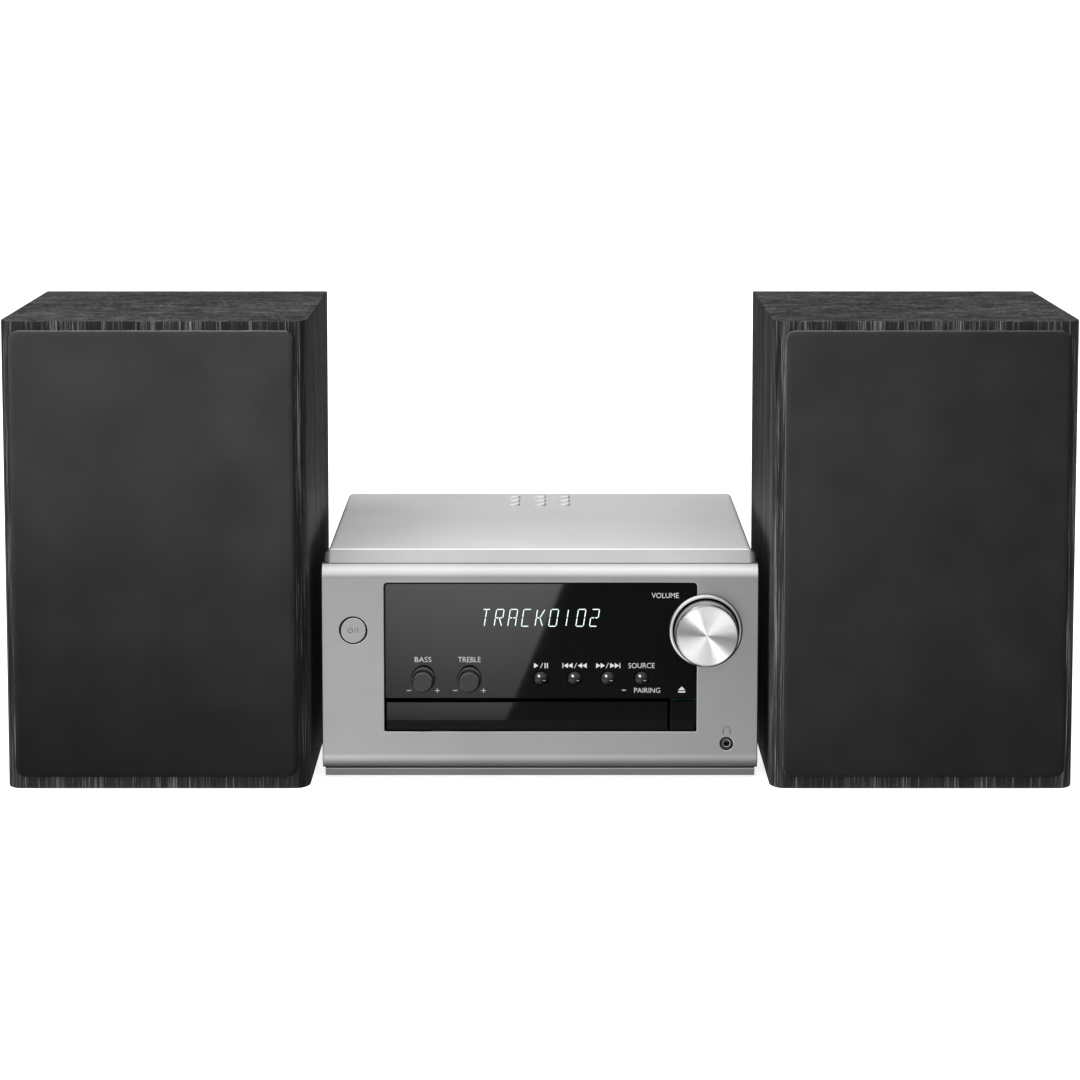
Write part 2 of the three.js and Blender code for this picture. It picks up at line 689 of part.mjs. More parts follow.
function speaker(side, x) {
  const group = new THREE.Group();
  group.position.x = x;
  group.add(
    node(`${side}_cabinet`, cabinet(), blackWood),
    node(`${side}_woofer_frame`, wooferFrame(), blackPlastic),
    node(`${side}_woofer_cone`, wooferCone(), paper),
    node(`${side}_woofer_magnet`, wooferMagnet(), ferrite),
    node(`${side}_tweeter`, tweeter(), blackPlastic),
    node(`${side}_port_tube`, portTube(), blackPlastic),
    node(`${side}_terminal_cup`, terminalCup(), blackPlastic),
    node(`${side}_crossover`, crossover(), boardGreen),
    node(`${side}_grille_frame`, grilleFrame(), blackPlastic),
    node(`${side}_grille_cloth`, grilleCloth(), cloth),
  );
  return group;
}

// ---------------------------------------------------------------- assembly
function receiver() {
  const group = new THREE.Group();
  group.add(
    node("front_panel", frontPanel(), silver),
    node("front_frame", frontFrame(), silver),
    node("top_cover", topCover(), lightSteel),
    node("base_chassis", baseChassis(), bareSteel),
    node("rear_panel", rearPanel(), bareSteel),
    node("display_window", displayWindow(), blackGloss),
    node("display_module", displayModule(), blackPlastic),
    node("knob_bezel", knobBezel(), spunAluminium),
    node("volume_knob", volumeKnob(), spunAluminium),
    node("volume_encoder", volumeEncoder(), bareSteel),
    node("bass_knob", toneKnob(TONE_X.bass), blackPlastic),
    node("treble_knob", toneKnob(TONE_X.treble), blackPlastic),
    node("power_button", powerButton(), silver),
    node("eject_button", ejectButton(), blackGloss),
    node("control_board", controlBoard(), boardGreen),
    node("headphone_jack", headphoneJack(), blackPlastic),
    node("tray_front", trayFront(), blackGloss),
    node("disc_tray", discTray(), blackPlastic),
    node("tray_gear", trayGear(), blackPlastic),
    node("loader_frame", loaderFrame(), blackPlastic),
    node("loader_motor", loaderMotor(), bareSteel),
    node("turntable", turntable(), blackPlastic),
    node("pickup_sled", pickupSled(), blackPlastic),
    node("disc_clamp", discClamp(), blackPlastic),
    node("clamp_bridge", clampBridge(), bareSteel),
    node("main_board", mainBoard(), boardGreen),
    node("heatsink", heatsink(), spunAluminium),
    node("power_supply", powerSupply(), boardGreen),
    node("mains_inlet", mainsInlet(), blackPlastic),
    node("antenna_socket", antennaSocket(), bareSteel),
    node("aux_sockets", auxSockets(), blackPlastic),
    node("speaker_terminals", speakerTerminals(), blackPlastic),
  );
  for (const [name, x] of Object.entries(BUTTON_X)) {
    group.add(node(`${name}_button`, smallButton(x), blackGloss));
  }
  const feet = { front_left: [-85, 28], front_right: [85, 28], rear_left: [-85, 200], rear_right: [85, 200] };
  for (const [place, [x, y]] of Object.entries(feet)) {
    const made = node(`foot_${place}`, foot(), rubber);
    made.position.set(x, y, 0);
    group.add(made);
  }
  return group;
}

const system = new THREE.Group();
system.add(receiver(), speaker("left", -SPEAKER_X), speaker("right", SPEAKER_X));
system.position.y = -MIDDLE;

export default system;
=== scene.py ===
import bmesh
import bpy
import numpy as np
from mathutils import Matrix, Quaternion, Vector


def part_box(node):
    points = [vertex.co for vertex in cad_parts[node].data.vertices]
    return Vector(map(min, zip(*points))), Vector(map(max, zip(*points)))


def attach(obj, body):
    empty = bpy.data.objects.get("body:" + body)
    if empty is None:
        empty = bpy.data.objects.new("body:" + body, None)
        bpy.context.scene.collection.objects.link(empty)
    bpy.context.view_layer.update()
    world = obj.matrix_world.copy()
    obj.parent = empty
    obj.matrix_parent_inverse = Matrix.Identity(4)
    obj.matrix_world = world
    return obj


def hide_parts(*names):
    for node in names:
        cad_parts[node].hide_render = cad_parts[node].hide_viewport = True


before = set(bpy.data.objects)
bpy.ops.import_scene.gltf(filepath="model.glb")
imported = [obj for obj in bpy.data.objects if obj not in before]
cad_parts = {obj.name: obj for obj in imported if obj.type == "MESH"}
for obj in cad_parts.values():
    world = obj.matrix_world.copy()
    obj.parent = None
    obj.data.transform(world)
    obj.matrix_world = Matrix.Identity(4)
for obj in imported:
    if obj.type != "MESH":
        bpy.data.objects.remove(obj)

scene = bpy.context.scene
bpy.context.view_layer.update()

# ---------------------------------------------------------------- the camera
# A long lens two metres in front of the system and a little above it, looking slightly down at its middle.
camera_data = bpy.data.cameras.new("camera")
camera_data.lens = 131.35
camera_data.sensor_width = 36
camera = bpy.data.objects.new("camera", camera_data)
camera.location = (0, -1.9705, 0.3774)
camera.rotation_euler = (np.radians(82.083), 0, 0)
scene.collection.objects.link(camera)
scene.camera = camera

# ---------------------------------------------------------------- the front panel
# A satin aluminium plate whose top and bottom edges roll back. It clips over the moulded frame, and is
# cut out for the window, the volume knob's ring, the power key and the headphone socket.
MM = 0.001  # lengths are written in millimetres, in the frame's own axes


def span(node):
    """The lowest and the highest corner of a CAD node, in millimetres."""
    low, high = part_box(node)
    return np.array(low) / MM, np.array(high) / MM


def surface(points, wrap_rows=False, wrap_columns=False, caps=False):
    """A grid of points (rows, columns, 3) joined into four-sided faces. Wrapping joins the last row or
    column to the first, and caps closes the first and last rows."""
    rows, columns = points.shape[:2]
    row, column = np.mgrid[0 : rows - (not wrap_rows), 0 : columns - (not wrap_columns)]
    above, beside = (row + 1) % rows, (column + 1) % columns
    corners = np.stack(
        [
            row * columns + column,
            row * columns + beside,
            above * columns + beside,
            above * columns + column,
        ],
        -1,
    )
    faces = corners.reshape(-1, 4).tolist()
    if caps:
        faces += [list(range(columns)), list(range((rows - 1) * columns, rows * columns))]
    return points.reshape(-1, 3), faces


def rounded(points, radius, steps=6):
    """A closed outline with its corners turned into arcs. Each is the rational curve between the tangent
    points beside the corner; the corner's weight is the sine of half its inside angle, which makes it a
    true arc."""
    points = np.asarray(points, float)
    before, after = np.roll(points, 1, 0) - points, np.roll(points, -1, 0) - points
    before /= np.linalg.norm(before, axis=1)[:, None]
    after /= np.linalg.norm(after, axis=1)[:, None]
    half = np.arccos(np.clip((before * after).sum(1), -1, 1)) / 2
    reach = (np.broadcast_to(radius, len(points)) / np.tan(half))[:, None]
    t = np.linspace(0, 1, steps + 1)[:, None, None]
    start, corner, end = (1 - t) ** 2, 2 * t * (1 - t) * np.sin(half)[:, None], t**2
    arcs = start * (points + before * reach) + corner * points + end * (points + after * reach)
    return (arcs / (start + corner + end)).transpose(1, 0, 2).reshape(-1, 2)


def arc(centre, radius, first, last, steps=16):
    """Points on a circle from one angle to another, in degrees anticlockwise from the first axis."""
    angle = np.radians(np.linspace(first, last, steps + 1))
    return np.stack([centre[0] + radius * np.cos(angle), centre[1] + radius * np.sin(angle)], -1)


def circle(centre, radius, steps=64):
    return arc(centre, radius, 0, 360, steps)[:-1]


def rectangle(low, high):
    return np.array([[low[0], low[1]], [high[0], low[1]], [high[0], high[1]], [low[0], high[1]]], float)


def prism(outline, low, high, axis=1):
    """A closed outline, given in the other two axes, carried straight along an axis, with flat ends."""
    outline = np.asarray(outline, float)
    points = np.empty((2, len(outline), 3))
    points[..., [k for k in range(3) if k != axis]] = outline
    points[..., axis] = [[low], [high]]
    return surface(points, wrap_columns=True, caps=True)


def block(low, high):
    return prism(rectangle((low[0], low[2]), (high[0], high[2])), low[1], high[1])


def mesh_of(name, parts):
    """Closed surfaces as one mesh in metres, with each one's doubled corners merged and its faces
    outwards."""
    whole = bmesh.new()
    for points, faces in parts:
        mesh = bpy.data.meshes.new(name)
        mesh.from_pydata(points * MM, [], faces)
        shell = bmesh.new()
        shell.from_mesh(mesh)
        bmesh.ops.remove_doubles(shell, verts=shell.verts, dist=5e-4 * MM)
        bmesh.ops.dissolve_degenerate(shell, dist=2e-4 * MM, edges=shell.edges)
        bmesh.ops.recalc_face_normals(shell, faces=shell.faces)
        shell.to_mesh(mesh)
        shell.free()
        whole.from_mesh(mesh)
        bpy.data.meshes.remove(mesh)
    made = bpy.data.meshes.new(name)
    whole.to_mesh(made)
    whole.free()
    made.shade_smooth()
    return made


def piece(
    name, body, parts, finish, replaces=(), add=(), cut=(), bevel=0.0, rings=3, sharp=30
):
    """One object made of closed surfaces. Those in add are joined to it and those in cut are taken away,
    each in turn; then edges sharper than a few degrees are rounded, and its flat faces keep flat
    shading."""
    made = bpy.data.objects.new(name, mesh_of(name, parts))
    scene.collection.objects.link(made)
    tools = []
    for operation, shapes in (("UNION", add), ("DIFFERENCE", cut)):
        for shape in shapes:
            tool = bpy.data.objects.new("tool", mesh_of("tool", [shape]))
            scene.collection.objects.link(tool)
            tools.append(tool)
            boolean = made.modifiers.new("boolean", "BOOLEAN")
            boolean.operation, boolean.solver, boolean.object = operation, "EXACT", tool
    if bevel:
        edges = made.modifiers.new("bevel", "BEVEL")
        edges.width, edges.segments = bevel * MM, rings
        edges.limit_method, edges.angle_limit = "ANGLE", np.radians(sharp)
        edges.use_clamp_overlap = False
    else:
        made.data.set_sharp_from_angle(angle=np.radians(sharp))
    shading = made.modifiers.new("shading", "WEIGHTED_NORMAL")
    shading.keep_sharp = not bevel
    depsgraph = bpy.context.evaluated_depsgraph_get()
    final = bpy.data.meshes.new_from_object(
        made.evaluated_get(depsgraph), preserve_all_data_layers=True, depsgraph=depsgraph
    )
    made.modifiers.clear()
    made.data = final
    for tool in tools:
        bpy.data.objects.remove(tool)
    final.name = name
    final.materials.clear()
    final.materials.append(finish.material)
    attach(made, body)
    if replaces:
        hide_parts(*replaces)
    return made


class Value:
    """A value among a shader's nodes. Arithmetic on it adds Math nodes."""

    def __init__(self, nodes, socket):
        self.nodes, self.socket = nodes, socket

    def math(self, operation, *values):
        return self.nodes.node("ShaderNodeMath", {"operation": operation}, dict(enumerate(values)))

    def __add__(self, other):
        return self.math("ADD", self, other)

    def __sub__(self, other):
        return self.math("SUBTRACT", self, other)

    def __rsub__(self, other):
        return self.math("SUBTRACT", other, self)

    def __mul__(self, other):
        return self.math("MULTIPLY", self, other)

    __radd__, __rmul__ = __add__, __mul__


class Shading:
    """The nodes that feed one shader. node() adds any node; the other methods are the patterns most
    often used."""

    def __init__(self, tree, shader):
        self.tree, self.shader = tree, tree.nodes[shader]

    def connect(self, value, socket):
        if isinstance(value, Value):
            self.tree.links.new(value.socket, socket)
        else:
            socket.default_value = value

    def node(self, kind, settings=None, inputs=None, output=0):
        """Adds a node: its settings first, then the values or links of its sockets. Gives one output."""
        made = self.tree.nodes.new(kind)
        for key, value in (settings or {}).items():
            if key == "stops":
                elements = made.color_ramp.elements
                for place, _ in value[1:-1]:
                    elements.new(place)
                for index, (place, colour) in enumerate(value):
                    elements[index].position, elements[index].color = place, (*colour, 1)
            else:
                setattr(made, key, value)
        for key, value in (inputs or {}).items():
            self.connect(value, made.inputs[key])
        return Value(self, made.outputs[output])

    def feed(self, **values):
        for key, value in values.items():
            self.connect(value, self.shader.inputs[key.replace("_", " ")])
        return self

    def place(self, stretch=(1, 1, 1), centre=(0, 0, 0), turn=(0, 0, 0)):
        """Object coordinates in millimetres from centre, each divided by its stretch."""
        metres = self.node("ShaderNodeTexCoord", output=3)
        scale = [1 / (MM * s) for s in stretch]
        shift = [-c / s for c, s in zip(centre, stretch)]
        return self.node(
            "ShaderNodeMapping",
            None,
            {"Vector": metres, "Scale": scale, "Location": shift, "Rotation": turn},
        )

    def axis(self, point, index):
        return self.node("ShaderNodeSeparateXYZ", None, {0: point}, output=index)

    def noise(self, point, size, detail=3, fall=0.5, warp=0.0):
        """Noise from 0 to 1 whose blotches are about size across."""
        inputs = {
            "Vector": point, "Scale": 1 / size, "Detail": detail, "Roughness": fall, "Distortion": warp
        }
        return self.node("ShaderNodeTexNoise", None, inputs)

    def ease(self, value, low, high):
        """0 below low, 1 above high and straight between them."""
        return self.node(
            "ShaderNodeMapRange", {"clamp": True}, {"Value": value, "From Min": low, "From Max": high}
        )

    def ramp(self, value, *stops):
        return self.node("ShaderNodeValToRGB", {"stops": stops}, {"Fac": value})

    def blend(self, factor, first, second):
        """first where factor is 0, second where it is 1; both are colours."""
        first, second = [c if isinstance(c, Value) else (*c, 1) for c in (first, second)]
        return self.node(
            "ShaderNodeMix", {"data_type": "RGBA"}, {0: factor, 6: first, 7: second}, output=2
        )

    def bump(self, height, depth, below=None):
        """A normal from a height of 0 to 1 that stands for depth millimetres."""
        inputs = {"Height": height, "Distance": depth * MM, "Strength": 1.0}
        if below:
            inputs["Normal"] = below
        return self.node("ShaderNodeBump", None, inputs)


class Finish(Shading):
    """A material, with the uniform values of its shader's sockets."""

    def __init__(self, name, colour, roughness, metallic=0.0, **sockets):
        self.material = bpy.data.materials.new(name)
        self.material.use_nodes = True
        super().__init__(self.material.node_tree, "Principled BSDF")
        self.feed(Base_Color=(*colour, 1), Roughness=roughness, Metallic=metallic, **sockets)


def grey(level):
    return (level, level, level * 1.01)


def satin_metal(name, level, roughness, metallic=1.0, grain=0.28, depth=0.006):
    """Fine blasted aluminium: short grain along X, faint cloudiness, a slightly uneven sheen."""
    made = Finish(name, grey(level), roughness, metallic)
    cloud = made.noise(made.place(), 45, 2)
    drawn = made.noise(made.place((14, 1, 1)), grain, 2)
    fine = made.noise(made.place(), grain * 0.8, 1)
    made.feed(
        Base_Color=made.ramp(
            cloud * 0.6 + drawn * 0.4, (0.3, grey(level * 0.94)), (0.7, grey(level * 1.06))
        ),
        Roughness=roughness - 0.04 + drawn * 0.08,
        Normal=made.bump(drawn * 0.6 + fine * 0.4, depth),
    )
    return made


panel_low, panel_high = span("front_panel")
window_low, window_high = span("display_window")
drawer_low, drawer_high = span("tray_front")
power_low, power_high = span("power_button")
bezel_low, bezel_high = span("knob_bezel")
jack_low, jack_high = span("headphone_jack")
FACE = panel_low[1]  # the front panel's plane
PANEL_WALL = 2.5
ROLL = 9.7  # radius of the rolled edges
ROLL_RISE = 7.0
EDGE_GAP = 0.3  # round the window
RING_HOLE = 16.6
JACK_HOLE = 3.15
POWER_GAP = 0.5


def middle(low, high):
    return (low + high) / 2


power_centre = middle(power_low, power_high)
bezel_centre = middle(bezel_low, bezel_high)
jack_centre = middle(jack_low, jack_high)
roll_turn = np.degrees(np.arcsin(ROLL_RISE / ROLL))
panel_section = np.concatenate(
    [
        [[panel_high[1], panel_high[2]]],
        arc((FACE + ROLL, panel_high[2] - ROLL_RISE), ROLL, 180 - roll_turn, 180),
        arc((FACE + ROLL, panel_low[2] + ROLL_RISE), ROLL, 180, 180 + roll_turn),
        [[panel_high[1], panel_low[2]]],
    ]
)
window_hole = rounded(
    rectangle(
        (window_low[0] - EDGE_GAP, drawer_low[2] - 0.5),
        (window_high[0] + EDGE_GAP, window_high[2] + EDGE_GAP),
    ),
    [0.6, 0.6, 1.8, 1.8],
)


def hole(centre, radius, depth=PANEL_WALL):
    return prism(circle(centre[[0, 2]], radius, 96), FACE - 1, FACE + depth + 1)


satin_silver = satin_metal("satin_silver", 0.315, 0.31, depth=0.003)
piece(
    "front_panel_plate",
    "receiver",
    [prism(panel_section, panel_low[0], panel_high[0], axis=0)],
    satin_silver,
    ["front_panel"],
    cut=[
        block(
            (panel_low[0] + PANEL_WALL, FACE + PANEL_WALL, panel_low[2] + PANEL_WALL),
            (panel_high[0] - PANEL_WALL, panel_high[1] + 1, panel_high[2] - PANEL_WALL),
        ),
        prism(window_hole, FACE - 1, FACE + PANEL_WALL + 1),
        hole(bezel_centre, RING_HOLE),
        hole(power_centre, (power_high[0] - power_low[0]) / 2 + POWER_GAP),
        hole(jack_centre, JACK_HOLE),
    ],
    bevel=0.4,
)

# ---------------------------------------------------------------- the moulded frame
# A silver-painted moulding behind the front panel: a sloped shoulder above it whose ends are rounded
# off, a skirt below it, and a ring that the cover and the chassis slide onto.
frame_low, frame_high = span("front_frame")
cover_low, cover_high = span("top_cover")
chassis_low, chassis_high = span("base_chassis")
SHOULDER_HALF = 103.8
SEAM = 0.1  # between the panel's rim and the shoulder
END_ROUND = 3.2
RING_OPENING = 98.3
CORE_HALF = chassis_high[0]
LIP_TOP = cover_high[2] - 1.4
shoulder_front, shoulder_top = FACE + 3.3, cover_high[2] - 0.7


def shoulder():
    """The shoulder's triangular section carried along X. Near each end, at an angle a from 0 to 90
    degrees, the section stands at the round's sine and draws back along its slope by one minus the
    round's cosine."""
    angle = np.linspace(0, np.pi / 2, 9)
    reach = np.concatenate([-angle[::-1], angle])
    side = np.where(np.arange(18) < 9, -1, 1)
    x = side * (SHOULDER_HALF - END_ROUND) + END_ROUND * np.sin(reach)
    inset = END_ROUND * (1 - np.cos(reach)) * 0.95
    low, back = panel_high[2] + SEAM, FACE + 10
    section = np.stack(
        [
            np.stack([shoulder_front + inset, np.full(18, low)], -1),
            np.stack([np.full(18, FACE + 8.4), shoulder_top - inset], -1),
            np.stack([np.full(18, back), shoulder_top - inset], -1),
            np.stack([np.full(18, back), np.full(18, low)], -1),
        ],
        1,
    )
    return surface(
        np.concatenate([np.broadcast_to(x[:, None, None], (18, 4, 1)), section], -1),
        wrap_columns=True,
        caps=True,
    )


skirt_top = panel_low[2] - 0.3
skirt_section = rounded(
    [
        [FACE + 1.5, skirt_top],
        [FACE + 4.2, frame_low[2]],
        [FACE + 10, frame_low[2]],
        [FACE + 10, skirt_top],
    ],
    [0.2, 0.8, 0.2, 0.2],
)
silver_moulding = satin_metal("silver_moulding", 0.31, 0.42, metallic=0.75, grain=0.2, depth=0.003)
piece(
    "front_frame_moulding",
    "receiver",
    [shoulder()],
    silver_moulding,
    ["front_frame"],
    add=[
        block((-CORE_HALF, FACE + 8.7, chassis_low[2] + 1.3), (CORE_HALF, frame_high[1], LIP_TOP)),
        prism(skirt_section, -SHOULDER_HALF, SHOULDER_HALF, axis=0),
    ],
    cut=[block((-RING_OPENING, FACE + 8.3, 8.8), (RING_OPENING, frame_high[1] + 1, panel_high[2]))],
    bevel=0.25,
)

# ---------------------------------------------------------------- the cover
# One sheet of steel folded over the receiver and painted pale silver, with three columns of pressed
# louvres near its rear edge and two screws in each side.
COVER_ROUND = 3.0
SHEET = 1.0
LOUVRE_COLUMNS = (-13.6, 0, 12.6)
LOUVRE_ROWS = cover_low[1] + np.array([161.3, 177.3, 193.3])
LOUVRE_HALF = 3.1
LOUVRE_LENGTH = 10.0
LOUVRE_RISE = 1.1
SCREW_RADIUS = 3.0
SCREW_HEIGHT, SCREW_FROM_END = 20, 22


def painted(name, level, roughness, depth, size, metallic=0.0, tone=1.0):
    """Sprayed paint: a fine orange peel under a slightly cloudy sheen."""
    made = Finish(name, (level, level, level * tone), roughness, metallic)
    peel = made.noise(made.place(), size, 2)
    cloud = made.noise(made.place(), 60, 2)
    fleck = made.noise(made.place(), 0.18, 1)
    shade = cloud * 0.5 + fleck * 0.5
    low, high = level * 0.94, level * 1.05
    made.feed(
        Base_Color=made.ramp(shade, (0.3, (low, low, low * tone)), (0.7, (high, high, high * tone))),
        Roughness=roughness - 0.04 + cloud * 0.08,
        Normal=made.bump(peel * 0.7 + fleck * 0.3, depth),
    )
    return made


def cover_outline():
    outer = rectangle(cover_low[[0, 2]], cover_high[[0, 2]])
    inner = [
        [cover_high[0] - SHEET, cover_low[2]],
        [cover_high[0] - SHEET, cover_high[2] - SHEET],
        [cover_low[0] + SHEET, cover_high[2] - SHEET],
        [cover_low[0] + SHEET, cover_low[2]],
    ]
    path = np.array([outer[0], outer[3], outer[2], outer[1], *inner])
    bend = COVER_ROUND - SHEET
    return rounded(path, [0, COVER_ROUND, COVER_ROUND, 0, 0, bend, bend, 0], 8)


def louvre_hood(x, y):
    """A strip that rises from the slot's left edge to its mouth on the right, as a quarter of a sine."""
    across = np.linspace(0, 1, 10)
    top = cover_high[2] + LOUVRE_RISE * np.sin(across * np.pi / 2)
    along = x - LOUVRE_HALF - 0.2 + across * (2 * LOUVRE_HALF - 0.6)
    upper, lower = np.stack([along, top], -1), np.stack([along[::-1], top[::-1] - 0.8], -1)
    return prism(np.concatenate([upper, lower]), y - 0.2, y + LOUVRE_LENGTH + 0.2)


def turned(profile, centre, axis=1, steps=96, flutes=0, flute_depth=0.0):
    """A profile of [radius, height] points turned about the line along an axis through centre. Flutes
    make the radius rise and fall as the cosine of the angle times their number."""
    profile = np.asarray(profile, float)
    angle = np.linspace(0, 2 * np.pi, steps, endpoint=False)
    wave = 1 - flute_depth * (1 - np.cos(flutes * angle)) / 2
    points = np.empty((len(profile), steps, 3))
    first, second = [k for k in range(3) if k != axis]
    points[..., first] = centre[first] + profile[:, :1] * wave * np.cos(angle)
    points[..., second] = centre[second] + profile[:, :1] * wave * np.sin(angle)
    points[..., axis] = centre[axis] + profile[:, 1:]
    return surface(points, wrap_columns=True, wrap_rows=bool(profile[0, 0]))


def screw_head(centre, axis, out, radius=SCREW_RADIUS):
    """A pan head with its cross recess: a low dome turned about an axis, facing the side that out gives."""
    profile = [
        [0, 1.5], [0.45 * radius, 1.45], [0.8 * radius, 1.15], [radius, 0.45], [radius, -0.3], [0, -0.3]
    ]
    dome = turned(np.array(profile) * [1, out], centre, axis, 40)
    arm, width, tools = 0.62 * radius, 0.3, []
    for long, short in ((arm, width), (width, arm)):
        half = np.full(3, short)
        first, second = [k for k in range(3) if k != axis]
        half[first], half[second], half[axis] = long, short, 0.75
        middle_of = np.array(centre, float)
        middle_of[axis] += out * 1.35
        tools.append(block(middle_of - half, middle_of + half))
    return dome, tools


def screw(name, body, centre, axis, out, finish, radius=SCREW_RADIUS):
    dome, tools = screw_head(centre, axis, out, radius)
    return piece(name, body, [dome], finish, cut=tools, bevel=0.08, rings=2)


cover_paint = painted("cover_paint", 0.7, 0.45, 0.006, 0.5, metallic=0.2)
louvres = [(x, y) for x in LOUVRE_COLUMNS for y in LOUVRE_ROWS]
piece(
    "top_cover_sheet",
    "receiver",
    [prism(cover_outline(), cover_low[1], cover_high[1])],
    cover_paint,
    ["top_cover"],
    add=[louvre_hood(x, y) for x, y in louvres],
    cut=[
        block(
            (x - LOUVRE_HALF + 0.8, y + 0.3, cover_high[2] - 2),
            (x + LOUVRE_HALF, y + LOUVRE_LENGTH - 0.3, cover_high[2] + LOUVRE_RISE - 0.85),
        )
        for x, y in louvres
    ],
    bevel=0.18,
    rings=2,
    sharp=40,
)
zinc = satin_metal("zinc_plate", 0.55, 0.32, grain=0.5, depth=0.004)
for side in (-1, 1):
    for k, y in enumerate((cover_low[1] + SCREW_FROM_END, cover_high[1] - SCREW_FROM_END)):
        screw(
            f"cover_screw_{'left' if side < 0 else 'right'}_{k + 1}",
            "receiver",
            (side * cover_high[0], y, SCREW_HEIGHT),
            0,
            side,
            zinc,
        )

# ---------------------------------------------------------------- the display window
# A polished black acrylic plate in the panel's opening, drilled for the tone controls and the four keys,
# with the volume knob's ring biting into its right edge.
TONE_KNOBS = {name: middle(*span(f"{name}_knob")) for name in ("bass", "treble")}
KEYS = {name: middle(*span(f"{name}_button")) for name in ("play", "previous", "next", "selector")}
WINDOW_FACE = window_low[1]
TONE_HOLE = 3.4
KEY_HOLE = 3.65


def polished_black(name, level=0.002, roughness=0.07, shine=0.058):
    """Polished black plastic: nearly a mirror, with faint wiping marks in its sheen and a little dust."""
    made = Finish(name, grey(level), roughness, Specular_IOR_Level=shine)
    wipe = made.noise(made.place((1, 1, 4)), 22, 4, warp=0.6)
    dust = made.ease(made.noise(made.place(), 0.3, 0), 0.74, 0.8)
    made.feed(
        Base_Color=made.blend(dust * 0.25, grey(level), grey(0.05)),
        Roughness=roughness - 0.025 + wipe * 0.05 + dust * 0.1,
        Normal=made.bump(made.noise(made.place(), 30, 1), 0.01),
    )
    return made


window_black = polished_black("window_black")
window = piece(
    "display_window_plate",
    "receiver",
    [
        prism(
            rounded(rectangle(window_low[[0, 2]], window_high[[0, 2]]), [0.2, 0.2, 1.5, 1.5]),
            WINDOW_FACE,
            window_high[1],
        )
    ],
    window_black,
    ["display_window"],
    cut=[hole(bezel_centre, RING_HOLE, 4)]
    + [hole(c, TONE_HOLE, 4) for c in TONE_KNOBS.values()]
    + [hole(c, KEY_HOLE, 4) for c in KEYS.values()],
    bevel=0.3,
)

# ---------------------------------------------------------------- the drawer's front and the eject key
# Two polished black mouldings under the window. Both lean back below a crease, and a thin gap parts them.
eject_low, eject_high = span("eject_button")
CREASE = 29.2


def leaning_bar(low, high, depth):
    """The front's section carried along X: upright above the crease, leaning back below it."""
    face = low[1]
    outline = [
        [face, high[2]],
        [face, CREASE],
        [face + 0.8, low[2]],
        [face + depth, low[2]],
        [face + depth, high[2]],
    ]
    return prism(np.array(outline), low[0], high[0], axis=0)


drawer_front = piece(
    "drawer_front",
    "disc_tray",
    [leaning_bar(drawer_low, drawer_high, 3.9)],
    window_black,
    ["tray_front"],
    bevel=0.22,
    sharp=8,
)
eject_key = piece(
    "eject_key",
    "eject_button",
    [leaning_bar(eject_low, eject_high, 3.6)],
    window_black,
    ["eject_button"],
    add=[block((eject_low[0] + 3, eject_low[1] + 3.5, 28), (eject_high[0] - 3, eject_high[1], 34))],
    bevel=0.22,
    sharp=8,
)

# ---------------------------------------------------------------- the volume knob and its ring
# A solid aluminium knob whose face was cut in a lathe, so that its fine grooves fan the light out,
# turning in a fixed ring with a well behind it.
knob_low, knob_high = span("volume_knob")
knob_centre = middle(knob_low, knob_high)
KNOB_RADIUS = 15.2
GROOVE = 0.3  # from one groove to the next
GROOVE_DEPTH = 0.065


def knob_profile():
    """The knob's profile. Its face is a wave with one rise and fall for each groove, between the middle
    and the chamfer; the side and the part in the well are plain."""
    front = knob_low[1]
    edge = KNOB_RADIUS - 1.0
    count = int(edge / GROOVE) * 6
    r = np.linspace(0, edge, count + 1)
    face = np.stack([r, front + GROOVE_DEPTH * (1 - np.cos(2 * np.pi * r / GROOVE)) / 2], -1)
    face[:, 1] += 0.12 * (r / edge) ** 2
    rest = rounded(
        [
            [edge - 0.01, front + 0.1],
            [edge + 0.35, front + 0.1],
            [KNOB_RADIUS, front + 1.1],
            [KNOB_RADIUS, FACE + 3],
            [3, FACE + 3],
            [3, knob_high[1]],
            [0, knob_high[1]],
            [0, front + 4],
        ],
        [0, 0.12, 0.3, 0.4, 0, 0.3, 0, 0],
        4,
    )[:-10]
    return np.concatenate([face, rest, [[0, knob_high[1]]]])


lathe_aluminium = satin_metal("lathe_aluminium", 0.42, 0.2, grain=0.6, depth=0.0015)
volume_knob = piece(
    "volume_knob_turned",
    "volume_knob",
    [turned(knob_profile(), (knob_centre[0], 0, knob_centre[2]), steps=160)],
    lathe_aluminium,
    ["volume_knob"],
    sharp=50,
)
RING = 17.7
WELL = 16.0
ring_profile = rounded(
    [
        [WELL, FACE - 2.0],
        [RING - 0.6, FACE - 2.0],
        [RING, FACE - 1.2],
        [RING, FACE - 0.3],
        [WELL + 0.3, FACE - 0.3],
        [WELL + 0.3, FACE + 4.9],
        [4, FACE + 4.9],
        [4, FACE + 3.4],
        [WELL, FACE + 3.4],
    ],
    [0.25, 0.5, 0.4, 0.1, 0.1, 0.2, 0.2, 0.2, 0.2],
    5,
)


def ring_metal(name, level, roughness):
    """Turned aluminium in front. Behind the lip its colour goes over to near black with the depth: painted
    shade in the well round the knob."""
    made = Finish(name, grey(level), roughness, 1.0)
    point = made.place()
    # Painted shade: deep is 0 on the front lip and 1 behind it, where the colour turns near black.
    deep = made.ease(made.axis(point, 1), FACE - 1.7, FACE - 0.6)
    turning = made.noise(made.place((1, 6, 1)), 0.4, 2)
    made.feed(
        Base_Color=made.blend(deep, grey(level), grey(0.012)),
        Roughness=roughness - 0.04 + turning * 0.08 + deep * 0.2,
        Normal=made.bump(turning, 0.003),
    )
    return made


